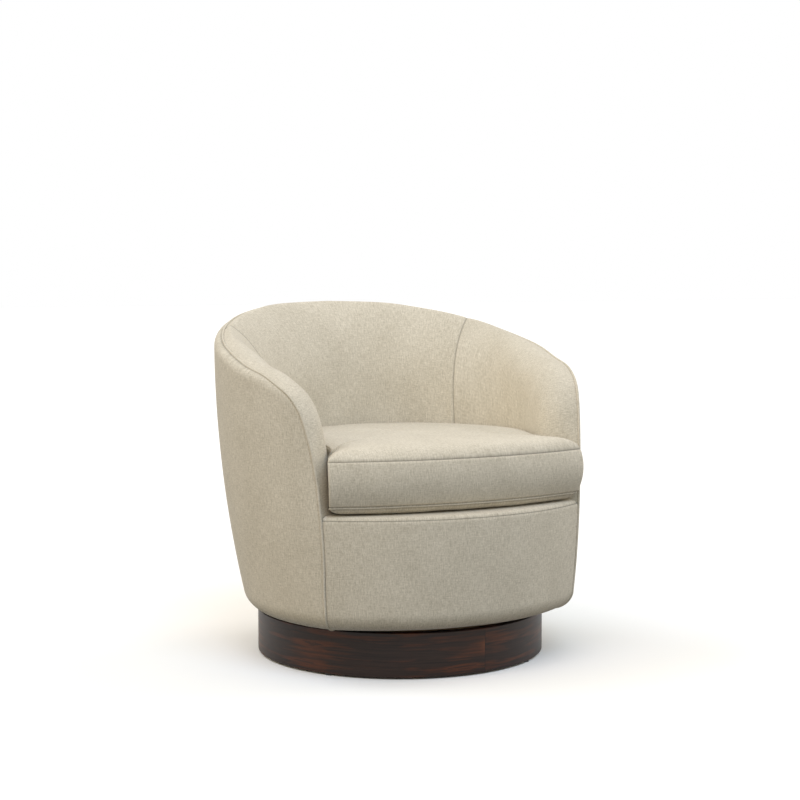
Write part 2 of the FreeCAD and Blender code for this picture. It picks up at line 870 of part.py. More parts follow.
def spring_tie_wires():
    z = seat_rail_top + clip_wall + spring_wire + tie_wire_gap + tie_wire / 2.0
    reach = spring_places()[-1] + spring_leg / 2.0 + spring_turn_radius + tie_wire_overhang
    starts = [V(-reach, y, z) for y in tie_wire_places]
    return Part.makeCompound([Part.makeCylinder(tie_wire / 2.0, 2 * reach, p, V(1, 0, 0)) for p in starts])


# Upholstery


def padded_wall(section, stations, trim=0.0):
    angles = list(stations)
    angles[0] += trim
    angles[-1] -= trim
    return loft([section(angle) for angle in angles], True)


def outside_cover():
    wires = []
    for angle in barrel_stations():
        top = rim_height(angle) - soft_gap
        tuck = rim_depth(angle)
        wires.append(panel_section(lambda d, z, a=angle: on_ring(a, d, z), top, tuck, outside_thickness))
    return loft(wires, True)


def front_border_cover():
    wires = []
    for share in border_shares:
        wires.append(panel_section(lambda d, z, s=share: on_front(s, d, z), border_top, 0.0, cover_thickness))
    return loft(wires)


def front_border_pad():
    """Foam behind the front cover, down to the edge of the bottom board."""
    inset = cover_thickness + soft_gap
    centre_z = shell_bottom + edge_round
    radius = edge_round - inset
    low_turn = math.radians(border_pad_low_turn)
    turned = [(inset + radius * (1 - math.cos(turn)), centre_z - radius * math.sin(turn))
              for turn in (low_turn, low_turn / 2.0, 0.0)]
    middle_z = (centre_z + border_top) / 2.0
    wires = []
    for share in border_shares:
        low, bend, side = [on_front(share, d, z) for d, z in turned]
        middle, top = [on_front(share, inset, z) for z in (middle_z, border_top)]
        near_top, near_middle = [on_front(share, border_thickness, z) for z in (border_top, middle_z)]
        near_low = on_front(share, border_thickness, turned[0][1])
        wires.append(Part.Wire([arc(low, bend, side), arc(side, middle, top), line(top, near_top),
                                arc(near_top, near_middle, near_low), line(near_low, low)]))
    return loft(wires)


def outside_welt():
    wires = []
    for angle in barrel_stations():
        depth = rim_depth(angle)
        z = rim_height(angle)
        low = z + soft_gap
        far = depth - welt_lap
        near = far + welt_width
        square = ((far, low), (far, low + welt_rise_outer), (near, low + welt_rise_inner), (near, low))
        corners = [on_ring(angle, d, h) for d, h in square]
        wires.append(Part.makePolygon(corners + [corners[0]]))
    return loft(wires, True)


def deck_cover():
    low = deck_height - deck_cover_thickness
    face = Part.Face(deck_outline(low, deck_front_inset, deck_gap))
    cover = face.extrude(UP * deck_cover_thickness)
    upper = [e for e in cover.Edges if e.BoundBox.ZMin > low + deck_cover_thickness / 2.0]
    front = max(upper, key=lambda e: e.BoundBox.XLength)
    return cover.makeFillet(min(deck_edge_round, deck_cover_thickness - soft_gap), [front])


def deck_layer(low, high):
    inset = border_thickness + front_rail_gap
    return Part.Face(deck_outline(low, inset, deck_gap)).extrude(UP * (high - low))


# Seat cushion


def cushion_corner(z, reach, shrink):
    """Front corner of the cushion: inboard of the shell's corner and in front of it."""
    corner = on_ring(corner_angle, 0.0, z)
    return corner.x - cushion_corner_inset - shrink, corner.y - reach + shrink


def cushion_body(shrink):
    """Crowned top and bottom panels on a bulging boxing, all drawn in by a thickness."""
    gap = cushion_gap + shrink
    low_corner = cushion_corner(cushion_bottom_seam, cushion_reach_bottom, shrink)
    high_corner = cushion_corner(cushion_top_seam, cushion_reach_top, shrink)
    middle_corner = tuple((a + b) / 2.0 for a, b in zip(low_corner, high_corner))
    low = cushion_bottom_seam + shrink
    high = cushion_top_seam - shrink
    middle_sag = (cushion_sag_bottom + cushion_sag_top) / 2.0
    rise = cushion_crown
    drop = cushion_belly

    def outline(z, corner, sag, size=1.0, spread=0.0):
        return seat_outline(z, corner, sag, gap, cushion_ear_depth, size, spread)
    boxing = loft([outline(low, low_corner, cushion_sag_bottom),
                   outline((low + high) / 2.0, middle_corner, middle_sag, 1.0, cushion_bulge),
                   outline(high, high_corner, cushion_sag_top)])
    top = loft([outline(high + share * rise, high_corner, cushion_sag_top, size)
                for share, size in ((0.0, 1.0),) + crown_steps])
    bottom = loft([outline(low - share * drop, low_corner, cushion_sag_bottom, size)
                   for share, size in ((0.0, 1.0),) + belly_steps])
    return boxing.fuse(top).fuse(bottom)


def zipper_band():
    """Thin strip along the back of the boxing, used to part the cover and the zipper."""
    middle = (cushion_bottom_seam + cushion_top_seam) / 2.0
    angles = (180.0 - zipper_half_angle, 180.0, 180.0 + zipper_half_angle)
    wires = []
    for z in (middle - zipper_height / 2.0, middle + zipper_height / 2.0):
        far = ring_arcs(angles, lambda a: wall_depth(a) - zipper_reach_out, z)
        near = ring_arcs(angles, lambda a: wall_depth(a) + zipper_reach_in, z)
        close = line(far[-1].Vertexes[-1].Point, near[-1].Vertexes[-1].Point)
        back = line(near[0].Vertexes[0].Point, far[0].Vertexes[0].Point)
        wires.append(Part.Wire(far + [close] + back_to_front(near) + [back]))
    return loft(wires, True)


def build():
    os.makedirs("parts", exist_ok=True)

    out("plinth_hoop", plinth_hoop())
    out("plinth_top_board", plinth_top_board())
    out("plinth_glue_blocks", plinth_glue_blocks())
    out("floor_glides", floor_glides())
    out("swivel_lower_plate", swivel_lower_plate())
    out("swivel_centre_collar", swivel_centre_collar())
    out("lower_plate_screws", lower_plate_screws())
    out("ball_cage", ball_cage())
    out("bearing_balls", bearing_balls())
    out("swivel_upper_plate", swivel_upper_plate())
    out("upper_plate_bolts", upper_plate_bolts())
    out("tee_nuts", tee_nuts())

    rail = out("top_rail", top_rail())
    seat_rail = out("seat_rail_curved", seat_rail_curved())
    out("bottom_board", bottom_board())
    out("dust_cover", dust_cover())
    out("front_seat_rail", front_rail(seat_rail_top - front_rail_height, front_rail_height))
    out("front_lower_rail", front_rail(board_bottom + board_thickness, lower_rail_height))
    ribs = {"front_post": corner_angle + front_post_step, **rib_angles}
    for name, angle in ribs.items():
        right = rib(angle, (rail, seat_rail))
        out(name + "_right", right)
        out(name + "_left", mirrored(right))
    out("centre_rib", rib(180.0, (rail, seat_rail)))
    out("corner_blocks", Part.makeCompound([corner_block(1), corner_block(-1)]))

    for i, x in enumerate(spring_places()):
        out("seat_spring_%d" % (i + 1), seat_spring(x))
    out("spring_clips", spring_clips())
    out("spring_tie_wires", spring_tie_wires())

    insulator_top = pad_bottom + insulator_thickness
    out("spring_insulator", deck_layer(pad_bottom, insulator_top))
    out("deck_pad", deck_layer(insulator_top, deck_height - deck_cover_thickness))
    out("deck_cover", deck_cover())

    out("outside_cover", outside_cover())
    out("front_border_cover", front_border_cover())
    out("front_border_pad", front_border_pad())
    out("outside_welt", outside_welt())

    arm_cover = padded_wall(cover_section, arm_stations(), seam_trim_cover)
    arm_pad = padded_wall(pad_section, arm_stations(), seam_trim_pad)
    out("inside_arm_cover_right", arm_cover)
    out("inside_arm_cover_left", mirrored(arm_cover))
    out("inside_arm_pad_right", arm_pad)
    out("inside_arm_pad_left", mirrored(arm_pad))
    out("inside_back_cover", padded_wall(cover_section, back_stations(), seam_trim_cover))
    out("inside_back_pad", padded_wall(pad_section, back_stations(), seam_trim_pad))

    core = cushion_body(cushion_cover_thickness)
    shell = cushion_body(0.0).cut(core)
    band = zipper_band()
    out("cushion_core", core)
    out("cushion_zipper", shell.common(band))
    out("cushion_cover", shell.cut(band))


build()
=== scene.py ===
import json
import math

import bmesh
import bpy
import numpy as np
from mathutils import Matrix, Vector


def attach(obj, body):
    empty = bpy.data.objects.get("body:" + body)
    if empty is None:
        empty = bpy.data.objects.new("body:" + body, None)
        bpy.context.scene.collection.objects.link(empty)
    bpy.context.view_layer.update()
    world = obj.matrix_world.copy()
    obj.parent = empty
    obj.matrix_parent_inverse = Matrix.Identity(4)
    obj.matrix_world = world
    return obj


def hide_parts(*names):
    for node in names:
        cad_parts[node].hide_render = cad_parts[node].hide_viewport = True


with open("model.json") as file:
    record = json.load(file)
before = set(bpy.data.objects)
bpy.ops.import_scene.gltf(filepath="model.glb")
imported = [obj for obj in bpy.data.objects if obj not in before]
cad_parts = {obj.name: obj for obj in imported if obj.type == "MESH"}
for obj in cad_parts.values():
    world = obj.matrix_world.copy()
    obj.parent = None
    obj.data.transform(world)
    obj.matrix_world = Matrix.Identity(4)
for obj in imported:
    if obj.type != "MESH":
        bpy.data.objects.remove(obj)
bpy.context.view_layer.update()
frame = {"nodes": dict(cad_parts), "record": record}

# Swivel barrel chair. Sizes are in millimetres and become metres where a point is placed.
# Angles are degrees from the front, towards +X. A height is measured from the floor.
MM = 0.001

# Barrel: level rings that grow with height and whose centre leans back
ring_heights = (104.0, 424.0, 744.0)
ring_radii = (345.0, 385.0, 381.0)
ring_shifts = (-45.6, 38.9)
unrolled_radius = 385.0
corner_angle = 51.7
inner_seam_right = 124.5
inner_seam_left = 119.0

# Front corner seam: how far it leans back round the barrel, by height
seam_swing = [(102.0, 4.4), (120.0, 3.4), (140.0, 2.65), (180.0, 2.0), (230.0, 0.95), (280.0, 0.32),
              (325.4, 0.0)]

# Heights
shell_bottom = 102.0
pad_bottom = 310.0
border_top = 325.4
border_seam = 327.6
deck_height = 335.0
arm_height = 590.0
back_height = 738.0

# Outer edge of the arms and back
front_rise = [(0.0, 0.263), (1.3, 0.539), (4.3, 0.8), (8.3, 0.928), (13.3, 1.0)]
back_rise = [(0.052, 0.115), (0.13, 0.203), (0.235, 0.365), (0.348, 0.514), (0.478, 0.689), (0.652, 0.865),
             (0.826, 0.973), (1.0, 1.0)]
rim_tuck = 17.0
rim_tuck_height = 21.0
rim_tuck_angles = (52.0, 85.0)

# Padding: thickness at seat height by the angle from the corner, with the arm's front end narrower on
# the cushion's side, and the rolled edge as depth share and height from the rim
wall_depths = [(0.0, 101.0), (10.3, 104.0), (23.3, 108.0), (43.3, 115.0), (69.3, 131.0), (98.3, 140.0),
               (128.3, 146.0)]
nose_depths = [(0.0, 62.0), (4.3, 90.0), (10.3, 102.0)] + wall_depths[2:]
arm_profile = [(0.12, 3.0), (0.48, 7.0), (0.79, -10.0), (0.95, -45.0), (1.0, -100.0)]
back_profile = [(0.08, 2.5), (0.23, 6.0), (0.46, -15.0), (0.77, -68.0), (0.96, -140.0)]
profile_change_angles = (85.0, 120.0)
nose_start = 40.0
arm_turn_angle = 75.0
arm_square_angles = (92.0, 118.0)
arm_firm_heights = (430.0, 520.0)

# Covers, laid out flat from the welt down, and their share of the barrel's unrolled width
back_cover_length = 470.0
arm_cover_length = 330.0
inside_share = 0.7
back_weave_share = 0.68

# Panels, seams and welt
edge_round = 38.0
flap_width = 34.0
border_sag_low = 84.0
border_sag_high = 96.0
border_half_width = 312.0
border_swell = 1.2
border_swell_start = 140.0
border_swell_height = 185.0
cover_thickness = 2.5
pinch_depth = 2.8
pinch_width = 3.4
welt_radius = 2.6
welt_sides = 10
welt_set_in = 0.4
# Width of the painted shade along seam lines, and its strength on the faint seams
seam_shade_width = 1.3
faint_seam_shade = 0.7
half_pinch = 0.5

# Cushion
cushion_bottom = 335.8
cushion_bottom_seam = 351.5
cushion_top_seam = 444.5
cushion_crown = 28.5
cushion_crown_reach = (15.5, 10.5)
cushion_belly_reach = 9.0
cushion_side_lift = 21.0
cushion_back_lift = 11.0
cushion_corner_inset = 13.0
cushion_reach_bottom = 14.7
cushion_reach_top = 28.4
cushion_sag_bottom = 50.0
cushion_sag_top = 51.0
cushion_bulge = 10.5
cushion_tip_bulge = 12.5
cushion_gap = 2.5
cushion_ear_depth = 46.0
cushion_middle = -20.0
cushion_full_share = 0.88
cushion_tip_fade = 26.0
top_groove = (1.9, 2.4)
low_groove = (1.5, 1.5)
low_groove_drop = 2.6
low_ridge = (0.9, 1.6)

# Columns of the seat's outline, counted from the left front tip
front_columns = 181
ear_columns = 24
nose_columns = 16
side_columns = 79
tip_columns = 4
side_lift_columns = (22, 48)
back_lift_columns = (60, 130)

# Platform under the cushion
deck_tip = (4.0, 1.6)
deck_tip_sag = 95.0
deck_gap = 1.5
deck_ear_depth = 9.0
deck_half_width = 290.0
deck_roll = 10.0
deck_step = 0.6

# Zipper
zipper_half_angle = 32.0
zipper_height = 9.0
zipper_thickness = 1.2
coil_rise = 1.1
tooth_rise = 0.35
tooth_pitch = 4.0

# Cloth under the shell
dust_cloth_depth = 75.0
dust_cloth_height = 106.2
dust_cloth_thickness = 0.8
dust_opening = 167.0
dust_hem_insets = (1.0, 0.0, 0.0, 12.0, 13.0, 20.0)
dust_hem_levels = (1.6, 0.8, 0.0, 0.1, 0.9)

# Slack in the covers: how far its hills are apart, their height, and the seed of the noise
outside_slack = (110.0, 0.8, 3)
rim_slack = (34.0, 0.25, 4)
front_slack = (90.0, 0.7, 11)
back_slack = (95.0, 0.9, 21)
arm_slack = (85.0, 0.9, 31)
boxing_slack = (55.0, 0.9, 41)
seam_pucker = (16.0, 0.35, 42)
cushion_slack = (60.0, 0.8, 43)
lining_slack = (45.0, 0.5, 51)

# Points that a distance is worked out for at once
batch = 4000

# Plinth and its upright joint, which has a warm patch beside it
plinth_radius = 307.0
joint_angle = 7.9
joint_half_width = 0.7
patch_height = 58.0
patch_half_height = 24.0
patch_fade = 14.0


# Small maths


def smooth_through(knots, x):
    """Monotone cubic curve through a few knots."""
    xs, ys = np.array(knots, float).T
    steps = np.diff(ys) / np.diff(xs)
    product = steps[1:] * steps[:-1]
    total = np.where(product > 0, steps[1:] + steps[:-1], 1.0)
    inner = np.where(product > 0, 2 * product / total, 0.0)
    slopes = np.concatenate([steps[:1], inner, steps[-1:]])
    x = np.clip(x, xs[0], xs[-1])
    i = np.clip(np.searchsorted(xs, x, side="right") - 1, 0, len(steps) - 1)
    width = xs[i + 1] - xs[i]
    t = (x - xs[i]) / width
    start = (1 + 2 * t) * (1 - t) ** 2 * ys[i] + t * (1 - t) ** 2 * width * slopes[i]
    end = t * t * (3 - 2 * t) * ys[i + 1] - t * t * (1 - t) * width * slopes[i + 1]
    return start + end


def ease(value, low, high):
    """0 below low, 1 above high, smooth between."""
    t = np.clip((np.asarray(value, float) - low) / (high - low), 0.0, 1.0)
    return t * t * (3 - 2 * t)


def mix(a, b, share):
    return a + (b - a) * share


def soft_noise(u, v, size, seed):
    """Smooth noise between -1 and 1 on a plane, its hills about one size apart."""
    table = np.random.RandomState(seed).uniform(-1.0, 1.0, (64, 64))
    x = np.asarray(u, float) / size
    y = np.asarray(v, float) / size
    i = np.floor(x).astype(int)
    j = np.floor(y).astype(int)
    s = x - i
    t = y - j
    s = s * s * (3 - 2 * s)
    t = t * t * (3 - 2 * t)
    low = mix(table[i % 64, j % 64], table[(i + 1) % 64, j % 64], s)
    high = mix(table[i % 64, (j + 1) % 64], table[(i + 1) % 64, (j + 1) % 64], s)
    return mix(low, high, t)


def unit(vectors):
    return vectors / np.maximum(np.linalg.norm(vectors, axis=-1, keepdims=True), 1e-12)


def curve_through(points, count):
    """Evenly spaced points on a smooth curve through a few points."""
    p = np.array(points, float)
    ends = np.vstack([2 * p[0] - p[1], p, 2 * p[-1] - p[-2]])
    gaps = np.sqrt(np.linalg.norm(np.diff(ends, axis=0), axis=1))
    t = np.linspace(0.0, 1.0, 24, endpoint=False)[:, None]
    parts = []
    for i in range(len(p) - 1):
        a, b, c, d = ends[i:i + 4]
        before, here, after = gaps[i:i + 3]
        leave = here * ((b - a) / before - (c - a) / (before + here) + (c - b) / here)
        arrive = here * ((c - b) / here - (d - b) / (here + after) + (d - c) / after)
        parts.append((1 + 2 * t) * (1 - t) ** 2 * b + t * (1 - t) ** 2 * leave
                     + t * t * (3 - 2 * t) * c - t * t * (1 - t) * arrive)
    return evenly(np.vstack(parts + [p[-1:]]), count)


def bell(reach, spread):
    """Weights for smoothing over neighbours, which add up to 1."""
    weights = np.exp(-0.5 * (np.arange(-reach, reach + 1) / spread) ** 2)
    return weights / weights.sum()


def softened(line, spread):
    """The line with its bends eased. Its ends stay where they are."""
    reach = int(3 * spread)
    kernel = bell(reach, spread)
    padded = np.vstack([2 * line[0] - line[reach:0:-1], line, 2 * line[-1] - line[-2:-reach - 2:-1]])
    return np.stack([np.convolve(padded[:, k], kernel, "valid") for k in (0, 1)], 1)


def run_along(line):
    """Length from the line's start to each of its points."""
    return np.concatenate([[0.0], np.cumsum(np.linalg.norm(np.diff(line, axis=0), axis=1))])


def evenly(points, count):
    """The line through the points, divided evenly by length."""
    run = run_along(points)
    at = np.linspace(0.0, run[-1], count)
    return np.stack([np.interp(at, run, points[:, k]) for k in range(points.shape[1])], 1)


def finer_at_end(count, power):
    """Numbers from 0 to 1, closer together towards 1."""
    return 1 - (1 - np.linspace(0.0, 1.0, count)) ** power


def finer_at_both(count, power):
    """Numbers from 0 to 1, closer together at both ends."""
    t = np.linspace(0.0, 1.0, count)
    return np.where(t < 0.5, 0.5 * (2 * t) ** power, 1 - 0.5 * (2 - 2 * t) ** power)


def hill(distance, height, width):
    """A round hill that fades with distance."""
    return height * np.exp(-(distance / width) ** 2)


def slackness(kind, u, v):
    """Smooth unevenness of a loose cover, in millimetres."""
    size, height, seed = kind
    return soft_noise(u, v, size, seed) * height


# The barrel


def front_angle(angle):
    """Angle from the front on either side, from 0 to 180."""
    return 180.0 - np.abs(180.0 - np.mod(angle, 360.0))


def ring_radius(z):
    low, middle, high = ring_radii
    t = (z - ring_heights[1]) / (ring_heights[2] - ring_heights[1])
    return middle + t * (high - low) / 2 + t * t * (low - 2 * middle + high) / 2


def ring_shift(z):
    t = (z - ring_heights[0]) / (ring_heights[2] - ring_heights[0])
    return ring_shifts[0] + t * (ring_shifts[1] - ring_shifts[0])


def on_ring(angle, depth, z):
    """Points at an angle, a depth inside the outer surface and a height."""
    angle, depth, z = np.broadcast_arrays(*[np.asarray(q, float) for q in (angle, depth, z)])
    radius = ring_radius(z) - depth
    a = np.radians(angle)
    return np.stack([radius * np.sin(a), ring_shift(z) - radius * np.cos(a), z], -1) * MM


def corner_at(z):
    """Angle of the front corner seam at a height."""
    return corner_angle + smooth_through(seam_swing, z)


def on_front(share, depth, z):
    """Points on the front panel: share -1 at the left corner, 1 at the right one."""
    share, depth, z = np.broadcast_arrays(*[np.asarray(q, float) for q in (share, depth, z)])
    corner = on_ring(corner_at(z), depth, z) / MM
    outer = on_ring(corner_angle, 0.0, z) / MM
    sag = mix(border_sag_low, border_sag_high, (z - shell_bottom) / (border_top - shell_bottom))
    middle = outer[..., 1] - sag + depth
    rise = corner[..., 1] - middle
    radius = (corner[..., 0] ** 2 + rise ** 2) / (2 * rise)
    turn = share * np.arcsin(corner[..., 0] / radius)
    return np.stack([radius * np.sin(turn), middle + radius - radius * np.cos(turn), z], -1) * MM


def rim_knots():
    rise = arm_height - border_top
    knots = [(corner_angle + step, border_top + share * rise) for step, share in front_rise]
    start = knots[-1][0]
    for way, share in back_rise:
        knots.append((start + way * (180.0 - start), arm_height + share * (back_height - arm_height)))
    return knots


def rim_height(angle):
    return smooth_through(rim_knots(), front_angle(angle))


def rim_depth(angle):
    return rim_tuck * ease(front_angle(angle), *rim_tuck_angles)


def wall_depth(angle):
    return smooth_through(wall_depths, front_angle(angle) - corner_angle)


def unrolled(angle):
    """Way round the barrel from the front, in millimetres."""
    return np.radians(angle) * unrolled_radius


def outer_seam(low):
    """The seam up the front corner and along the rim to the middle of the back: way round and height."""
    up = np.linspace(low, float(rim_height(corner_angle)), 120, endpoint=False)
    angles = np.concatenate([np.linspace(corner_angle, 54.0, 90), np.linspace(54.05, 180.0, 900)])
    line = np.vstack([np.stack([unrolled(corner_at(up)), up], 1),
                      np.stack([unrolled(angles), rim_height(angles)], 1)])
    return softened(evenly(line, 640), 3.0)


def in_batches(points, work):
    """One number for each point, worked out for a few thousand of them at a time."""
    flat = points.reshape(-1, 2)
    found = [work(flat[first:first + batch, None]) for first in range(0, len(flat), batch)]
    return np.concatenate(found).reshape(points.shape[:-1])


def distance_to(line, points):
    """Shortest distance from each point to a line in the unrolled plane."""
    step = np.diff(line, axis=0)
    length = (step ** 2).sum(1)

    def nearest(spots):
        part = spots - line[:-1]
        t = np.clip((part * step).sum(2) / length, 0.0, 1.0)
        return np.sqrt(((part - t[..., None] * step) ** 2).sum(2)).min(1)

    return in_batches(points, nearest)


# Meshes


def add_object(name, data):
    thing = bpy.data.objects.new(name, data)
    bpy.context.scene.collection.objects.link(thing)
    return thing


def grid_normals(points):
    return unit(np.cross(np.gradient(points, axis=1), np.gradient(points, axis=0)))


def grid_faces(rows, columns, closed):
    """Faces between the rows of a grid, as indices."""
    last = columns if closed else columns - 1
    faces = []
    for r in range(rows - 1):
        for c in range(last):
            d = (c + 1) % columns
            faces.append((r * columns + c, r * columns + d, (r + 1) * columns + d, (r + 1) * columns + c))
    return faces


def capped_faces(rows, columns):
    """Faces of a grid of closed rings, with its first and last ring filled."""
    faces = grid_faces(rows, columns, True)
    faces.append(tuple(range(columns)))
    faces.append(tuple(range((rows - 1) * columns, rows * columns))[::-1])
    return faces


def new_piece(name, points, faces, weave, seam):
    """A smooth closed mesh with its weave laid out in metres and the painted shade along its seam lines
    stored.
    """
    mesh = bpy.data.meshes.new(name)
    mesh.from_pydata([tuple(p) for p in points], [], faces)
    layer = mesh.uv_layers.new(name="weave")
    corners = np.empty(len(mesh.loops), int)
    mesh.loops.foreach_get("vertex_index", corners)
    layer.uv.foreach_set("vector", np.asarray(weave, np.float32)[corners].ravel())
    # The seam attribute is painted shade along the seams, which darkens the fabric's colour there
    painted_shade = mesh.attributes.new("seam", "FLOAT", "POINT")
    painted_shade.data.foreach_set("value", np.asarray(seam, np.float32))
    bm = bmesh.new()
    bm.from_mesh(mesh)
    bmesh.ops.recalc_face_normals(bm, faces=bm.faces)
    bm.to_mesh(mesh)
    bm.free()
    mesh.polygons.foreach_set("use_smooth", [True] * len(mesh.polygons))
    mesh.set_sharp_from_angle(angle=math.radians(60))
    return add_object(name, mesh)


def sheet_piece(name, points, weave, seam, thickness=cover_thickness, outward=1.0):
    """A cover from a grid of points, with its thickness on the hidden side."""
    rows, columns = points.shape[:2]
    inner = points - grid_normals(points) * outward * thickness * MM
    count = rows * columns
    front = grid_faces(rows, columns, False)
    back = [tuple(count + i for i in reversed(face)) for face in front]
    rim = list(range(columns))
    rim += [r * columns + columns - 1 for r in range(1, rows)]
    rim += [(rows - 1) * columns + c for c in range(columns - 2, -1, -1)]
    rim += [r * columns for r in range(rows - 2, 0, -1)]
    edge = [(b, a, a + count, b + count) for a, b in zip(rim, rim[1:] + rim[:1])]
    flat = np.vstack([points.reshape(-1, 3), inner.reshape(-1, 3)])
    weave = np.vstack([weave.reshape(-1, 2)] * 2)
    seam = np.concatenate([seam.ravel()] * 2)
    return new_piece(name, flat, front + back + edge, weave, seam)


def mirrored(piece):
    """The piece turned into the one for the chair's other side."""
    piece.data.transform(((-1, 0, 0, 0), (0, 1, 0, 0), (0, 0, 1, 0), (0, 0, 0, 1)))
    piece.data.flip_normals()
    return piece


def tube_piece(name, path, ways, radius):
    """A thin round welt along a path; ways are the outward directions along it."""
    along = unit(np.gradient(path, axis=0))
    out = unit(ways - (ways * along).sum(1, keepdims=True) * along)
    side = np.cross(along, out)
    turns = np.linspace(0.0, 2 * np.pi, welt_sides, endpoint=False)
    rings = path[:, None] + radius * MM * (np.cos(turns)[None, :, None] * out[:, None]
                                           + np.sin(turns)[None, :, None] * side[:, None])
    run = run_along(path)
    weave = np.stack(np.broadcast_arrays(turns[None] * radius * MM, run[:, None]), -1).reshape(-1, 2)
    faces = capped_faces(len(path), welt_sides)
    return new_piece(name, rings.reshape(-1, 3), faces, weave, np.zeros(len(weave)))


def pinch(distance):
    """How far a cover is drawn in at a distance from its seam."""
    return hill(distance, pinch_depth, pinch_width)


def seam_shade(distance):
    """How dark the painted shade along a seam is at a distance from it."""
    return hill(distance, 1.0, seam_shade_width)


# Upholstery


def bottom_round(turn):
    """Depth and height on the rounded bottom edge, by the turn up from its flat side."""
    return edge_round * (1 - np.sin(turn)), shell_bottom + edge_round * (1 - np.cos(turn))


def panel_path(top, count):
    """Depth and height of an outer panel, from its flap under the shell to its top edge."""
    round_part = np.stack(bottom_round(np.linspace(0.0, np.pi / 2, 16)), 1)
    flap = np.array([[edge_round + flap_width, shell_bottom], [edge_round + flap_width / 2, shell_bottom]])
    low = shell_bottom + edge_round
    steps = finer_at_end(count - len(flap) - len(round_part) + 1, 1.5)[1:]
    wall = low + (top - low) * steps
    return np.vstack([flap, round_part, np.stack([np.zeros(len(wall)), wall], 1)])


def height_on_cloth(depth, height):
    """Height on an outer cover laid flat, which goes on under the shell."""
    return height - 0.8 * np.clip(depth - 10.0, 0.0, None)


def corner_steps():
    """Angles from the front corner to the middle of the back, closest together at the corner."""
    near = corner_angle + np.array([0.0, 0.08, 0.16, 0.26, 0.4, 0.6, 0.85, 1.15, 1.5, 1.9, 2.4, 3.0, 3.7,
                                    4.5])
    return np.concatenate([near, np.linspace(near[-1] + 0.9, 180.0, 136)])


def outside_panel():
    """Outer panel round both arms and the back, drawn in along the welt, with painted shade along its seam."""
    half = corner_steps()
    tops = np.concatenate([half, 360.0 - half[-2::-1]])
    paths = np.stack([panel_path(top, 96) for top in rim_height(tops)], 1)
    depth = paths[..., 0].copy()
    height = paths[..., 1]
    left_to_back = (180.0 - front_angle(tops)) / (180.0 - corner_angle)
    lean = smooth_through(seam_swing, height) * left_to_back[None]
    angles = tops[None] + np.where(tops <= 180.0, lean, -lean)
    drawn = np.clip(1 - (rim_height(tops)[None] - height) / rim_tuck_height, 0.0, 1.0)
    depth += rim_depth(tops)[None] * (1 - np.sqrt(1 - drawn ** 2))
    way = np.stack([unrolled(front_angle(angles)), height], -1)
    distance = distance_to(outer_seam(shell_bottom), way)
    depth += pinch(distance)
    swell = slackness(outside_slack, unrolled(angles), height)
    swell += slackness(rim_slack, unrolled(angles), height) * np.exp(-distance / 30.0)
    depth -= swell * ease(distance, 2.0, 25.0) * ease(height, shell_bottom, shell_bottom + 60.0)
    points = on_ring(angles, depth, height)
    weave = np.stack([unrolled(angles), height_on_cloth(depth, height)], -1) * MM
    return sheet_piece("outside_panel", points, weave, seam_shade(distance))


def front_panel():
    """Padded front under the cushion, between the corner seams, with painted shade along its seams."""
    shares = 2 * finer_at_both(121, 1.6) - 1
    path = panel_path(border_seam, 72)
    depth = np.repeat(path[:, :1], len(shares), 1)
    height = np.repeat(path[:, 1:], len(shares), 1)
    from_corner = (1 - np.abs(shares))[None] * border_half_width + 0 * height
    from_top = border_seam - height
    distance = np.minimum(from_corner, from_top)
    depth += pinch(from_corner) + half_pinch * pinch(from_top)
    across = shares[None] * border_half_width + 0 * height
    level = np.clip(height - border_swell_start, 0, border_swell_height) / border_swell_height
    depth -= border_swell * np.clip(from_corner / 60.0, 0.0, 1.0) * np.sin(level * np.pi)
    depth -= slackness(front_slack, across, height) * ease(distance, 2.0, 25.0)
    points = on_front(shares[None], depth, height)
    weave = np.stack([across, height_on_cloth(depth, height)], -1) * MM
    return sheet_piece("front_panel", points, weave, seam_shade(distance))


def inside_line(angle, drop, soften_top=1.0):
    """Depth and height from the rim of a padded inside: from the welt over the rolled edge and down."""
    tuck = float(rim_depth(angle))
    wall = float(wall_depth(angle))
    share = float(ease(front_angle(angle), *profile_change_angles))
    path = [(tuck + 1.0, -2.6), (tuck + 2.6, 0.0)]
    for on_arm, on_back in zip(arm_profile, back_profile):
        depth = mix(on_arm[0], on_back[0], share) * wall
        level = mix(on_arm[1], on_back[1], share)
        path.append((max(depth, tuck + 6.0 + len(path)), level * (soften_top if level > 0 else 1.0)))
    path += [(wall, -240.0), (wall, -drop)]
    raw = curve_through(path, 260)
    away = run_along(raw)
    return mix(raw, softened(raw, 9.0), ease(away, 18.0, 80.0)[:, None])


def inside_cover(name, points, swell, from_seam, from_rim, across):
    """Inner cover from its smooth shape: slack away from its edges and drawn in along its seam, with faint
    painted shade along the seam.
    """
    around = ease(from_seam, 2.0, 22.0) * ease(from_rim, 4.0, 30.0)
    moved = swell * around - half_pinch * pinch(from_seam)
    points = points + grid_normals(points) * (moved * MM)[..., None]
    weave = np.stack([across, -from_rim], -1) * MM
    return sheet_piece(name, points, weave, faint_seam_shade * seam_shade(from_seam))


def inside_back():
    """Padded inner back between the two inner seams."""
    first = inner_seam_right
    last = 360.0 - inner_seam_left
    angles = first + (last - first) * finer_at_both(150, 1.35)
    rims = rim_height(angles)
    count = 110
    lines = [evenly(inside_line(a, rim - pad_bottom), count) for a, rim in zip(angles, rims)]
    paths = np.stack(lines, 1)
    depth = paths[..., 0]
    from_rim = np.linspace(0.0, back_cover_length, count)[:, None] + 0 * depth
    from_seam = unrolled(np.minimum(angles - first, last - angles))[None] * inside_share + 0 * depth
    swell = slackness(back_slack, unrolled(angles)[None], from_rim)
    points = on_ring(angles[None], depth, rims[None] + paths[..., 1])
    across = unrolled(angles)[None] * back_weave_share + 0 * depth
    return inside_cover("inside_back", points, swell, from_seam, from_rim, across)


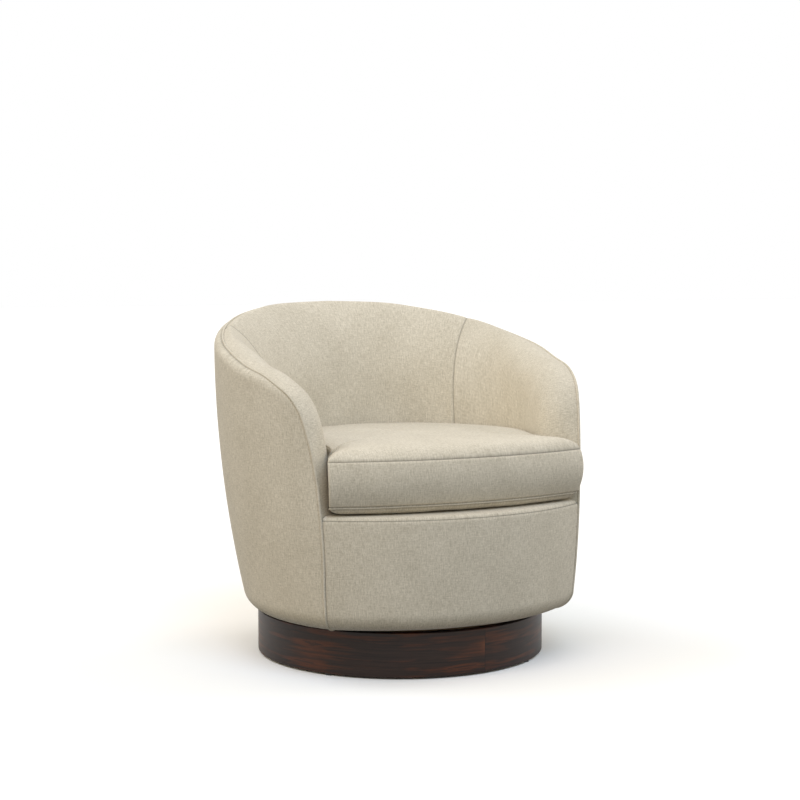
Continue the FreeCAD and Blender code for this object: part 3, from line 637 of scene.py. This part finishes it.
def arm_line(spot):
    """The padded inside at a spot on the arm's seam."""
    angle = math.degrees(spot[0] / unrolled_radius)
    firm = mix(0.15, 1.0, float(ease(spot[1], *arm_firm_heights)))
    return inside_line(angle, 400.0, firm)


def arm_seam(seam_angle):
    """The arm's outer seam from the deck up and along the rim, and its inward directions."""
    seam = outer_seam(shell_bottom)
    end = unrolled(seam_angle)
    seam = seam[(seam[:, 1] > deck_height - 12.0) & (seam[:, 0] <= end + 1e-6)]
    seam = np.vstack([seam, [[end, float(rim_height(seam_angle))]]])
    line = evenly(seam, 190)
    tangent = unit(np.gradient(line, axis=0))
    inward = np.stack([tangent[:, 1], -tangent[:, 0]], 1)
    upright = arm_upright(line)[:, None]
    return seam, line, unit(inward * (1 - upright) + np.array([[0.0, -1.0]]) * upright)


def arm_upright(spots):
    """0 where the padding runs square to the arm's seam, 1 where it runs straight down."""
    low, high = arm_square_angles
    return ease(spots[..., 0], unrolled(low), unrolled(high))


def inside_arm(name, seam_angle):
    """Padded arm: rolled over from the welt, round the front end and down the inside."""
    seam, line, inward = arm_seam(seam_angle)
    end = unrolled(seam_angle)
    rolled = 56
    wall_rows = 54
    low_start = unrolled(corner_angle) + nose_start
    turn_place = unrolled(arm_turn_angle)
    first = int(np.argmax(line[:, 0] > turn_place))
    low_line = line[:, 0].copy()
    low_line[:first] = np.linspace(low_start, turn_place, first)
    profiles = [arm_line(spot) for spot in line]
    depth = np.empty((rolled + wall_rows, len(line)))
    place = np.empty((rolled + wall_rows, len(line), 2))
    share = np.linspace(0.0, 1.0, wall_rows + 1)[1:, None]
    for c, fine in enumerate(profiles):
        cut = int(np.argmax(fine[:, 1] < -nose_start))
        part = evenly(fine[:cut + 1], rolled)
        depth[:rolled, c] = part[:, 0]
        place[:rolled, c] = line[c] - inward[c] * part[:, 1:]
        start = place[rolled - 1, c]
        foot = np.array([low_line[c], pad_bottom])
        place[rolled:, c] = start + (foot - start) * share
    tail = place[rolled:]
    plumb = np.interp(tail[..., 0], line[first:, 0], line[first:, 1]) - tail[..., 1]
    away = mix(distance_to(seam, tail), plumb, arm_upright(tail))
    for c, fine in enumerate(profiles):
        top = int(np.argmax(fine[:, 1]))
        depth[rolled:, c] = np.interp(away[:, c], -fine[top:, 1], fine[top:, 0])
    angles = np.degrees(place[..., 0] / unrolled_radius)
    points = on_ring(angles, depth, place[..., 1])
    from_end = (end - place[..., 0]) * inside_share
    from_rim = np.linspace(0.0, 1.0, rolled + wall_rows)[:, None] * arm_cover_length + 0 * depth
    swell = slackness(arm_slack, place[..., 0], from_rim)
    return inside_cover(name, points, swell, from_end, from_rim, run_along(line)[None] + 0 * depth)


def welt():
    """Self welt up one front corner, round the rim and down the other corner."""
    seam = evenly(outer_seam(shell_bottom + edge_round), 520)
    angles = np.degrees(seam[:, 0] / unrolled_radius)
    low_depth, low_height = bottom_round(np.linspace(0.0, np.pi / 2, 30)[:-1])
    low_height = low_height + welt_set_in
    depth = np.concatenate([low_depth, rim_depth(angles)]) + welt_set_in
    angles = np.concatenate([corner_at(low_height), angles])
    height = np.concatenate([low_height, seam[:, 1]])
    angles = np.concatenate([angles, 360.0 - angles[-2::-1]])
    depth = np.concatenate([depth, depth[-2::-1]])
    height = np.concatenate([height, height[-2::-1]])
    path = on_ring(angles, depth, height)
    ways = unit(on_ring(angles, depth - 5.0, height) - path)
    return tube_piece("welt", path, ways, welt_radius)


# Seat


def seat_outline(z, tip, sag, gap, ear_depth):
    """Seat shape in plan: front arc, ears in front of the arms, then round the inner back."""
    middle = tip[1] - sag
    radius = (tip[0] ** 2 + sag ** 2) / (2 * sag)
    turn = math.asin(tip[0] / radius)
    turns = np.linspace(-turn, turn, front_columns)
    front = np.stack([radius * np.sin(turns), middle + radius - radius * np.cos(turns)], 1)
    a = math.radians(corner_angle)
    forward = np.array([-math.cos(a), -math.sin(a)]) * gap
    outer = on_ring(corner_angle, ear_depth, z)[:2] / MM + forward
    nose = on_ring(corner_angle, float(smooth_through(nose_depths, 0.0)) + gap, z)[:2] / MM + forward
    steps = np.linspace(corner_angle, 180.0, 131)[2:]
    inner = on_ring(steps, smooth_through(nose_depths, steps - corner_angle) + gap, z)[:, :2] / MM
    ear = np.linspace(tip, outer, ear_columns, endpoint=False)
    side = np.vstack([ear, np.linspace(outer, nose, nose_columns, endpoint=False), [nose], inner])
    left = side[-2:0:-1] * [-1.0, 1.0]
    loop = np.vstack([front[:-1], side, left])
    kernel = bell(4, 1.2)
    padded = np.vstack([loop[-4:], loop, loop[:4]])
    return np.stack([np.convolve(padded[:, k], kernel, "valid") for k in (0, 1)], 1)


def cushion_tip(z, reach):
    """Place in plan of the cushion's right front tip."""
    corner = on_ring(corner_angle, 0.0, z) / MM
    return corner[0] - cushion_corner_inset, corner[1] - reach


def soft_distance(points, outline):
    """Distance from the outline, smooth where several of its sides are near."""
    step = np.roll(outline, -1, 0) - outline
    length = np.linalg.norm(step, axis=1)
    way = step / length[:, None]

    def pull(spots):
        gap = spots - outline
        along = (gap * way).sum(2)
        off = np.maximum((gap ** 2).sum(2) - along ** 2, 1e-3)
        rest = length - along
        return ((rest / np.sqrt(rest ** 2 + off) + along / np.sqrt(along ** 2 + off)) / off).sum(1)

    return np.sqrt(2.0 / in_batches(points, pull))


def stuffed(away, lift, reach):
    """Height of a stuffed panel by the distance from its seam."""
    share = 1 - np.exp(-away / reach)
    return lift * share / share.max()


def panel_rings(outline, steps):
    """Rings of a panel from its outline to its middle."""
    centre = np.array([0.0, cushion_middle])
    return centre + (outline[None] - centre) * (1 - steps)[:, None, None]


def boxing_swell(outline):
    """How far and which way the boxing bulges at each point of the outline."""
    tangent = np.roll(outline, -1, 0) - np.roll(outline, 1, 0)
    out = unit(np.stack([tangent[:, 1], -tangent[:, 0]], 1))
    amount = np.zeros(len(outline))
    last = front_columns - 1
    share = np.abs(np.arange(front_columns) - last / 2) / (last / 2)
    amount[:front_columns] = mix(cushion_bulge, cushion_tip_bulge, share ** 3)
    right_side = slice(front_columns, front_columns + side_columns)
    left_side = slice(len(outline) - side_columns, None)
    for tip, side, normal in ((last, right_side, last - tip_columns), (0, left_side, tip_columns)):
        away = np.linalg.norm(outline[side] - outline[tip], axis=1)
        amount[side] = hill(away, cushion_tip_bulge, cushion_tip_fade)
        out[side] = out[normal]
        out[tip] = out[normal]
    out[last - tip_columns:front_columns] = out[last - tip_columns]
    out[:tip_columns + 1] = out[tip_columns]
    slack = slackness(boxing_slack, np.arange(len(outline)) * 3.2, 0.0)
    return out * (amount + slack * (amount > 1.0))[:, None]


def top_edge_lift(columns):
    """How much higher the cushion's top seam is at each column of its hidden sides and back."""
    at = np.arange(columns)
    behind = np.minimum(at - (front_columns - 1), columns - at)
    lift = mix(cushion_side_lift, cushion_back_lift, ease(behind, *back_lift_columns))
    return lift * ease(behind, *side_lift_columns)


def cushion_surface():
    """Rings over the stuffed cushion in millimetres, its top outline, and the rows of its two seams."""
    steps = np.concatenate([[0.0, 0.003, 0.007, 0.012, 0.018, 0.026], np.linspace(0.038, 0.985, 40)])
    top_tip = cushion_tip(cushion_top_seam, cushion_reach_top)
    low_tip = cushion_tip(cushion_bottom_seam, cushion_reach_bottom)
    top_line = seat_outline(cushion_top_seam, top_tip, cushion_sag_top, cushion_gap, cushion_ear_depth)
    low_line = seat_outline(cushion_bottom_seam, low_tip, cushion_sag_bottom, cushion_gap,
                            cushion_ear_depth)
    top = panel_rings(top_line, steps)
    away = soft_distance(top, top_line)
    edge = top_edge_lift(len(top_line))
    lifted = edge[None] * ((1 - steps) ** 2)[:, None]
    reach = mix(*cushion_crown_reach, ease(top[..., 0], -230.0, 200.0))
    full = cushion_full_share * stuffed(away, 1.0, reach)
    full += (1 - cushion_full_share) * ease(away / away.max(), 0.0, 1.0)
    top_z = cushion_top_seam + lifted + (cushion_crown - lifted) * full
    low = panel_rings(low_line, steps)
    low_away = soft_distance(low, low_line)
    low_z = cushion_bottom_seam - stuffed(low_away, cushion_bottom_seam - cushion_bottom,
                                          cushion_belly_reach)
    share = finer_at_both(40, 1.6)[1:-1]
    boxing = mix(top_line[None], low_line[None], share[:, None, None])
    boxing = boxing + boxing_swell(top_line)[None] * (np.sin(np.pi * share) ** 0.8)[:, None, None]
    boxing_z = mix((cushion_top_seam + edge)[None], cushion_bottom_seam, share[:, None])
    plan = np.concatenate([top[::-1], boxing, low])
    height = np.concatenate([top_z[::-1], boxing_z, low_z])
    rings = np.concatenate([plan, height[..., None]], -1)
    return rings, top_line, len(top) - 1, len(top) + len(boxing)


def run_both_ways(outline):
    """Length along the outline from its first point, negative on the way back along the left side."""
    run = run_along(outline)
    last = front_columns - 1
    back = last + (len(run) - last) // 2
    around = run[-1] + np.linalg.norm(outline[0] - outline[-1])
    return np.where(np.arange(len(run)) > back, run - around, run)


def cushion():
    """Loose seat cushion: crowned top and bottom panels on a bulging boxing, drawn in at both seams, with
    painted shade along both seams.
    """
    points, top_line, top_seam, low_seam = cushion_surface()
    down = run_along(points[:, front_columns // 2])
    from_top = np.abs(down - down[top_seam])[:, None]
    from_low = np.abs(down - down[low_seam])[:, None]
    run = run_both_ways(top_line)
    wide = np.concatenate([points[:, -2:], points, points[:, :2]], 1)
    outward = -grid_normals(wide)[:, 2:-2]
    outward *= np.sign((outward * (points - points.mean((0, 1)))).sum())
    near = np.minimum(from_top, from_low)
    groove = hill(from_top, *top_groove) + hill(from_low - low_groove_drop, *low_groove)
    ridge = hill(from_low, *low_ridge)
    pucker = slackness(seam_pucker, run[None], np.zeros((len(points), 1))) * np.exp(-near / 9.0)
    slack = slackness(cushion_slack, run[None], down[:, None]) * ease(near, 4.0, 30.0)
    points = (points + outward * (ridge - groove + pucker + slack)[..., None]) * MM

    rows = np.arange(len(points))
    panel = ((rows <= top_seam) | (rows >= low_seam))[:, None]
    weave = np.empty(points.shape[:2] + (2,))
    weave[..., 0] = np.where(panel, points[..., 0], run[None] * MM)
    weave[..., 1] = np.where(panel, points[..., 1], -down[:, None] * MM)
    # Painted shade along the top seam, fainter along the bottom one
    painted_shade = np.maximum(seam_shade(from_top), faint_seam_shade * seam_shade(from_low - low_groove_drop))
    painted_shade = np.repeat(painted_shade, len(run), 1)
    faces = capped_faces(len(points), len(run))
    return new_piece("seat_cushion", points.reshape(-1, 3), faces, weave.reshape(-1, 2), painted_shade.ravel())


def seat_deck():
    """Platform under the cushion with its rolled front edge."""
    corner = on_ring(corner_angle, 0.0, border_top) / MM
    steps = np.concatenate([np.linspace(0.0, 0.05, 12), np.linspace(0.07, 0.985, 22)])
    tip = (corner[0] - deck_tip[0], corner[1] + deck_tip[1])
    line = seat_outline(border_top, tip, deck_tip_sag, deck_gap, deck_ear_depth)
    rings = panel_rings(line, steps)
    roll = np.clip(steps * deck_half_width / deck_roll, 0.0, 1.0)
    lift = (deck_height - border_seam - deck_step) * np.sqrt(np.clip(1 - (1 - roll) ** 2, 0.0, 1.0))
    height = border_seam + deck_step + lift[:, None] + np.zeros(len(line))
    plan = np.concatenate([rings[::-1], line[None], (line * 0.995)[None]])
    z = np.concatenate([height[::-1], np.full((1, len(line)), border_seam - 3.0),
                        np.full((1, len(line)), pad_bottom)])
    points = np.concatenate([plan, z[..., None]], -1) * MM
    faces = capped_faces(len(points), len(line))
    weave = points[..., :2].reshape(-1, 2)
    return new_piece("seat_deck", points.reshape(-1, 3), faces, weave, np.zeros(len(weave)))


def zipper():
    """Zipper in the back of the boxing: its tape with the coil of teeth along the middle, and painted shade
    along both edges of the coil.
    """
    middle = (cushion_bottom_seam + cushion_top_seam) / 2
    angles = np.linspace(180.0 - zipper_half_angle, 180.0 + zipper_half_angle, 161)
    across = np.linspace(-1.0, 1.0, 15)[:, None]
    face = wall_depth(angles) + cushion_gap
    raised = hill(across, coil_rise, 0.22)
    teeth = tooth_rise * np.sin(unrolled(angles) * 2 * np.pi / tooth_pitch)[None] * hill(across, 1.0, 0.2)
    depth = face[None] - raised - teeth
    drop = across * zipper_height / 2
    points = on_ring(angles[None], depth, middle + drop)
    weave = np.stack(np.broadcast_arrays(unrolled(angles)[None] * MM, drop * MM), -1)
    # Painted shade along both edges of the raised coil
    painted_shade = hill(np.abs(across) - 0.34, 0.8, 0.08) + 0 * depth
    return sheet_piece("cushion_zip", points, weave, painted_shade, zipper_thickness, -1.0)


def dust_ring(inset):
    """Ring of the cloth under the shell, an inset inside its edge."""
    depth = dust_cloth_depth + inset
    corner = corner_at(dust_cloth_height)
    front = on_front(np.linspace(-1.0, 1.0, 90, endpoint=False), depth, dust_cloth_height)
    around = on_ring(np.linspace(corner, 360.0 - corner, 200, endpoint=False), depth, dust_cloth_height)
    return np.vstack([front, around])


def dust_cloth():
    """Thin black cloth stapled under the shell, with its folded edge and its opening round the swivel."""
    hem = [dust_ring(inset) for inset in dust_hem_insets]
    opening = unit(hem[-1] * (1.0, 1.0, 0.0)) * dust_opening * MM
    shares = np.linspace(0.0, 1.0, 24)[1:, None, None]
    under = np.concatenate([hem, mix(hem[-1], opening, shares)]) / MM
    slack = slackness(lining_slack, under[..., 0], under[..., 1])
    slack[:len(hem)] = 0.0
    slack[-1] = 0.0
    under[..., 2] = dust_cloth_height + 1.0 + slack
    under[:len(dust_hem_levels), :, 2] = dust_cloth_height + np.array(dust_hem_levels)[:, None]
    upper = under + (0.0, 0.0, dust_cloth_thickness)
    rows, columns = under.shape[:2]
    count = rows * columns
    low = grid_faces(rows, columns, True)
    high = [tuple(count + i for i in face[::-1]) for face in low]
    edge = []
    for start in (0, count - columns):
        for c in range(columns):
            here = start + c
            there = start + (c + 1) % columns
            edge.append((here, there, count + there, count + here))
    points = np.vstack([under.reshape(-1, 3), upper.reshape(-1, 3)]) * MM
    return new_piece("dust_cloth", points, low + high + edge, points[:, :2], np.zeros(len(points)))


# Materials


class Nodes:
    """A node tree, built by short calls."""

    def __init__(self, tree):
        self.tree = tree

    def put(self, target, value):
        if isinstance(value, bpy.types.NodeSocket):
            self.tree.links.new(value, target)
        else:
            target.default_value = value

    def add(self, kind, inputs=(), out=0, **settings):
        node = self.tree.nodes.new(kind)
        for key, value in settings.items():
            setattr(node, key, value)
        for key, value in dict(inputs).items():
            self.put(node.inputs[key], value)
        return node.outputs[out]

    def math(self, operation, a, b=0.0, clamp=False):
        return self.add("ShaderNodeMath", {0: a, 1: b}, operation=operation, use_clamp=clamp)

    def plus(self, a, b):
        return self.math("ADD", a, b)

    def minus(self, a, b, clamp=False):
        return self.math("SUBTRACT", a, b, clamp)

    def times(self, a, b, clamp=False):
        return self.math("MULTIPLY", a, b, clamp)

    def blend(self, share, first, second, **settings):
        inputs = {0: share, 6: first, 7: second}
        return self.add("ShaderNodeMix", inputs, out=2, data_type="RGBA", **settings)

    def bump(self, strength, distance, height):
        return self.add("ShaderNodeBump", {"Strength": strength, "Distance": distance, "Height": height})

    def scaled(self, vector, scale):
        return self.add("ShaderNodeVectorMath", {0: vector, 1: scale}, operation="MULTIPLY")

    def noise(self, vector, scale, detail=2.0, roughness=0.5):
        inputs = {"Vector": self.scaled(vector, scale), "Scale": 1.0, "Detail": detail, "Roughness": roughness}
        return self.add("ShaderNodeTexNoise", inputs)

    def ramp(self, value, stops):
        node = self.tree.nodes.new("ShaderNodeValToRGB")
        self.put(node.inputs[0], value)
        ramp = node.color_ramp
        for place, colour in stops[2:]:
            ramp.elements.new(place)
        for element, (place, colour) in zip(ramp.elements, stops):
            element.position = place
            element.color = (*colour, 1.0)
        return node.outputs[0]


class Shader(Nodes):
    """A material's nodes."""

    def __init__(self, name):
        self.material = bpy.data.materials.new(name)
        self.material.use_nodes = True
        super().__init__(self.material.node_tree)
        self.surface = self.tree.nodes["Principled BSDF"]

    def set(self, **values):
        names = {"colour": "Base Color", "roughness": "Roughness", "metallic": "Metallic",
                 "normal": "Normal", "sheen": "Sheen Weight", "sheen_roughness": "Sheen Roughness",
                 "specular": "Specular IOR Level"}
        for key, value in values.items():
            self.put(self.surface.inputs[names[key]], value)


def grey(value):
    return (value, value, value)


def shade(colour, factor):
    return tuple(channel * factor for channel in colour)


# Heather of the weave: cycles per metre across and up, detail and weight of each noise
heather = [((430.0, 260.0, 0.0), 1.0, 0.72), ((430.0, 66.0, 0.0), 2.0, 0.95),
           ((75.0, 450.0, 0.0), 2.0, 0.66), ((13.0, 9.0, 0.0), 2.0, 0.34)]
dark_yarn = (0.66, 0.645, 0.60)
light_yarn = (1.24, 1.25, 1.28)
lightest_yarn = 0.95


def woven(name, colour, weave_size=1.1, contrast=1.0):
    """Heathered plain weave laid out on the piece's own weave map, in metres, darkened by painted shade along
    its seam lines.
    """
    s = Shader(name)
    place = s.add("ShaderNodeUVMap", uv_map="weave")
    tone = 0.5
    for scale, detail, weight in heather:
        noise = s.minus(s.noise(place, scale, detail), 0.5)
        tone = s.plus(tone, s.times(noise, weight * contrast))
    dark = tuple(c * factor for c, factor in zip(colour, dark_yarn))
    light = tuple(min(c * factor, lightest_yarn) for c, factor in zip(colour, light_yarn))
    yarn = s.ramp(tone, [(0.0, dark), (1.0, light), (0.5, colour)])
    # Painted shade along the seam lines: the seam attribute darkens the yarn colour
    seam = s.add("ShaderNodeAttribute", out=2, attribute_name="seam")
    shadow = s.minus(1.0, s.times(seam, 0.6))
    shadow_colour = s.add("ShaderNodeCombineColor", {0: shadow, 1: shadow, 2: shadow})
    shaded_yarn = s.blend(1.0, yarn, shadow_colour, blend_type="MULTIPLY")
    per_thread = math.pi / (weave_size * MM)
    split = s.add("ShaderNodeSeparateXYZ", {0: s.scaled(place, (per_thread, per_thread, 0.0))}).node
    threads = s.times(s.math("SINE", split.outputs[0]), s.math("SINE", split.outputs[1]))
    height = s.plus(s.times(threads, 0.3), s.times(tone, 0.7))
    bump = s.bump(0.3, 0.0005, height)
    s.set(colour=shaded_yarn, roughness=0.92, normal=bump, sheen=0.15, sheen_roughness=0.5, specular=0.2)
    return s.material


def wood(name, dark, middle, light, scale):
    """Bare wood with its grain along one axis."""
    s = Shader(name)
    place = s.add("ShaderNodeTexCoord", out=3)
    grain = s.noise(place, scale, 5.0, 0.6)
    pores = s.noise(place, tuple(v * 4 for v in scale), 3.0, 0.6)
    tone = s.plus(s.times(grain, 0.7), s.times(pores, 0.3))
    colour = s.ramp(tone, [(0.3, dark), (0.72, light), (0.5, middle)])
    bump = s.bump(0.25, 0.0004, tone)
    s.set(colour=colour, roughness=0.6, normal=bump, specular=0.35)
    return s.material


# Stain of the hoop
stain_dark = (0.011, 0.0065, 0.0055)
stain_middle = (0.020, 0.0115, 0.009)
stain_light = (0.034, 0.019, 0.014)
stain_red = (0.088, 0.030, 0.015, 1.0)
stain_worn = (0.16, 0.052, 0.022, 1.0)
stain_gap = (0.006, 0.005, 0.005, 1.0)


def hoop_patch(s, way, level, streak):
    """How much the stain is worn warm beside the joint."""
    to_joint = s.minus(math.pi * plinth_radius * MM, way)
    near = s.math("POWER", 2.718, s.times(to_joint, -1.0 / (patch_fade * MM)))
    off = s.math("ABSOLUTE", s.minus(level, patch_height * MM))
    band = s.minus(1.0, s.times(off, 1 / (patch_half_height * MM)), clamp=True)
    return s.times(s.times(near, band), s.times(streak, 1.7), clamp=True)


def stained_hoop():
    """Dark stained wood with its grain running round the hoop and one upright joint in front."""
    s = Shader("espresso_hoop")
    place = s.add("ShaderNodeTexCoord", out=3)
    turn = math.radians(180.0 - joint_angle)
    turned = s.add("ShaderNodeVectorRotate", {"Vector": place, "Angle": turn}, rotation_type="Z_AXIS")
    split = s.add("ShaderNodeSeparateXYZ", {0: turned}).node
    angle = s.math("ARCTAN2", split.outputs[0], s.times(split.outputs[1], -1.0))
    way = s.times(angle, plinth_radius * MM)
    level = split.outputs[2]
    flat = s.add("ShaderNodeCombineXYZ", {0: way, 1: level, 2: 0.0})
    bent = s.times(s.noise(flat, (7.0, 14.0, 0.0), 2.0), 0.012)
    shifted = s.add("ShaderNodeCombineXYZ", {0: way, 1: s.plus(level, bent), 2: 3.0})
    grain = s.noise(shifted, (5.0, 240.0, 1.0), 4.0, 0.6)
    streak = s.noise(shifted, (6.0, 95.0, 1.0), 3.0, 0.55)
    cloud = s.noise(flat, (9.0, 26.0, 0.0), 2.0)
    base = s.ramp(grain, [(0.3, stain_dark), (0.75, stain_light), (0.52, stain_middle)])
    red = s.ramp(s.times(streak, s.plus(cloud, 0.45)),
                 [(0.46, grey(0.0)), (0.68, grey(1.0)), (0.55, grey(0.25))])
    redder = s.blend(red, base, stain_red)
    patch = hoop_patch(s, way, level, streak)
    warm = s.blend(patch, redder, stain_worn)
    to_gap = s.minus(math.pi * plinth_radius * MM, s.math("ABSOLUTE", way))
    gap = s.times(s.math("LESS_THAN", to_gap, joint_half_width * MM), 0.7)
    colour = s.blend(gap, warm, stain_gap)
    rough = s.plus(0.36, s.times(grain, 0.16))
    bump = s.bump(0.2, 0.0004, grain)
    s.set(colour=colour, roughness=rough, normal=bump, specular=0.26)
    return s.material


def metal(name, colour, roughness):
    """Bare or plated metal with faint wear."""
    s = Shader(name)
    place = s.add("ShaderNodeTexCoord", out=3)
    wear = s.noise(place, grey(900.0), 3.0)
    tone = s.ramp(wear, [(0.3, shade(colour, 0.8)), (0.7, shade(colour, 1.1))])
    rough = s.plus(roughness - 0.06, s.times(wear, 0.12))
    bump = s.bump(0.15, 0.0002, wear)
    s.set(colour=tone, roughness=rough, metallic=1.0, normal=bump)
    return s.material


def moulded(name, colour, roughness):
    """Plastic with a fine grain."""
    s = Shader(name)
    place = s.add("ShaderNodeTexCoord", out=3)
    grain = s.noise(place, grey(1400.0), 2.0)
    tone = s.ramp(grain, [(0.2, shade(colour, 0.85)), (0.8, shade(colour, 1.2))])
    bump = s.bump(0.3, 0.0002, grain)
    s.set(colour=tone, roughness=roughness, normal=bump)
    return s.material


def paint(piece, material):
    piece.data.materials.clear()
    piece.data.materials.append(material)


# Stage, lights and camera

floor_half = 30.0
floor_white = (0.93, 0.925, 0.90)
floor_bounce = 0.2
ambient = (0.75, 0.70, 0.585)
sun_angle = 35.0
suns = {
    "side_low": (-90.0, 30.0, (0.50, 0.42, 0.28)),
    "key": (-45.0, 60.0, (0.54, 0.49, 0.56)),
    "front": (0.0, 50.0, (0.34, 0.56, 0.86)),
    "right": (90.0, 30.0, (0.72, 0.70, 0.74)),
    "behind": (-135.0, 45.0, (0.50, 0.58, 0.72)),
}
camera_place = (-1.6466, -3.3358, 0.825)
camera_turn = (85.58, 0.0, -26.27)
camera_lens = 78.06


def seen_directly(n):
    """1 for what the camera sees, straight or by reflection or through glass."""
    path = n.add("ShaderNodeLightPath").node
    total = path.outputs["Is Camera Ray"]
    for name in ("Is Glossy Ray", "Is Transmission Ray"):
        total = n.math("MAXIMUM", total, path.outputs[name])
    return total


def stage_floor():
    """Pale floor, white where it is seen and dim where it only throws light back."""
    mesh = bpy.data.meshes.new("floor")
    far = floor_half
    mesh.from_pydata([(-far, -far, 0), (far, -far, 0), (far, far, 0), (-far, far, 0)], [], [(0, 1, 2, 3)])
    floor = add_object("floor", mesh)
    s = Shader("floor_paper")
    colour = s.blend(seen_directly(s), (*grey(floor_bounce), 1.0), (*floor_white, 1.0))
    s.set(colour=colour, roughness=0.9, specular=0.0)
    paint(floor, s.material)


def sun(name, azimuth, height, colour):
    """A broad even light from a direction: degrees from the front towards +X, and degrees up."""
    a, e = math.radians(azimuth), math.radians(height)
    source = Vector((math.sin(a) * math.cos(e), -math.cos(a) * math.cos(e), math.sin(e)))
    light = bpy.data.lights.new(name, "SUN")
    light.angle = math.radians(sun_angle)
    light.energy = max(colour)
    light.color = shade(colour, 1 / max(colour))
    add_object(name, light).rotation_euler = (-source).to_track_quat("-Z", "Y").to_euler()


def studio():
    """Broad suns and an even surround, which is white where it is seen."""
    world = bpy.data.worlds.new("studio")
    bpy.context.scene.world = world
    world.use_nodes = True
    n = Nodes(world.node_tree)
    background = n.tree.nodes["Background"]
    background.inputs["Strength"].default_value = 1.0
    shown = n.blend(seen_directly(n), (*ambient, 1.0), (1.0, 1.0, 1.0, 1.0))
    n.put(background.inputs["Color"], shown)
    for name, (azimuth, height, colour) in suns.items():
        sun(name, azimuth, height, colour)


def camera():
    data = bpy.data.cameras.new("camera")
    data.lens = camera_lens
    data.sensor_width = 36.0
    view = add_object("camera", data)
    view.location = camera_place
    view.rotation_euler = [math.radians(a) for a in camera_turn]
    bpy.context.scene.camera = view


# Putting it together


def upholster(piece, body, material, nodes):
    """Puts a padded piece in place of the CAD nodes that it stands for."""
    paint(piece, material)
    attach(piece, body)
    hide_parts(*nodes)


def upholstery(fabric, lining, tape):
    """The soft pieces of the shell and of the loose cushion."""
    covers = [
        (outside_panel(), ["outside_cover"], 0.9),
        (front_panel(), ["front_border_cover", "front_border_pad"], 0.9),
        (welt(), ["outside_welt"], 1.0),
        (inside_back(), ["inside_back_cover", "inside_back_pad"], 0.9),
        (inside_arm("inside_arm_right", inner_seam_right),
         ["inside_arm_cover_right", "inside_arm_pad_right"], 0.9),
        (mirrored(inside_arm("inside_arm_left", inner_seam_left)),
         ["inside_arm_cover_left", "inside_arm_pad_left"], 0.9),
    ]
    for piece, nodes, fill in covers:
        upholster(piece, "seat_shell", fabric, nodes)
    upholster(seat_deck(), "seat_shell", fabric,
              ["deck_cover", "deck_pad", "spring_insulator"])
    upholster(cushion(), "seat_cushion", fabric, ["cushion_core", "cushion_cover"])
    upholster(zipper(), "seat_cushion", tape, ["cushion_zipper"])
    upholster(dust_cloth(), "seat_shell", lining, ["dust_cover"])


def main():
    bpy.context.scene.view_settings.view_transform = "Standard"
    camera()
    studio()
    stage_floor()

    fabric = woven("oatmeal_weave", (0.615, 0.56, 0.452))
    lining = woven("black_cambric", (0.03, 0.03, 0.033), 0.6, 0.6)
    tape = woven("zipper_tape", (0.55, 0.5, 0.4), 0.8, 0.5)
    upholstery(fabric, lining, tape)

    finishes = {
        "plinth_wood": stained_hoop(),
        "plywood": wood("plywood", (0.42, 0.28, 0.16), (0.60, 0.44, 0.27), (0.72, 0.56, 0.37),
                        (6.0, 6.0, 120.0)),
        "frame_wood": wood("frame_wood", (0.50, 0.34, 0.19), (0.66, 0.49, 0.30), (0.78, 0.62, 0.42),
                           (60.0, 6.0, 60.0)),
        "glide_plastic": moulded("black_glide", (0.02, 0.02, 0.02), 0.5),
        "plated_steel": metal("zinc_plate", (0.62, 0.62, 0.60), 0.34),
        "bearing_steel": metal("bearing_ball", (0.75, 0.75, 0.76), 0.14),
        "spring_steel": metal("spring_wire", (0.25, 0.25, 0.26), 0.38),
    }
    slots = {part["node"]: part["material_slot"] for part in frame["record"]["subparts"]}
    for name, node in frame["nodes"].items():
        if not node.hide_render:
            paint(node, finishes[slots[name]])


main()
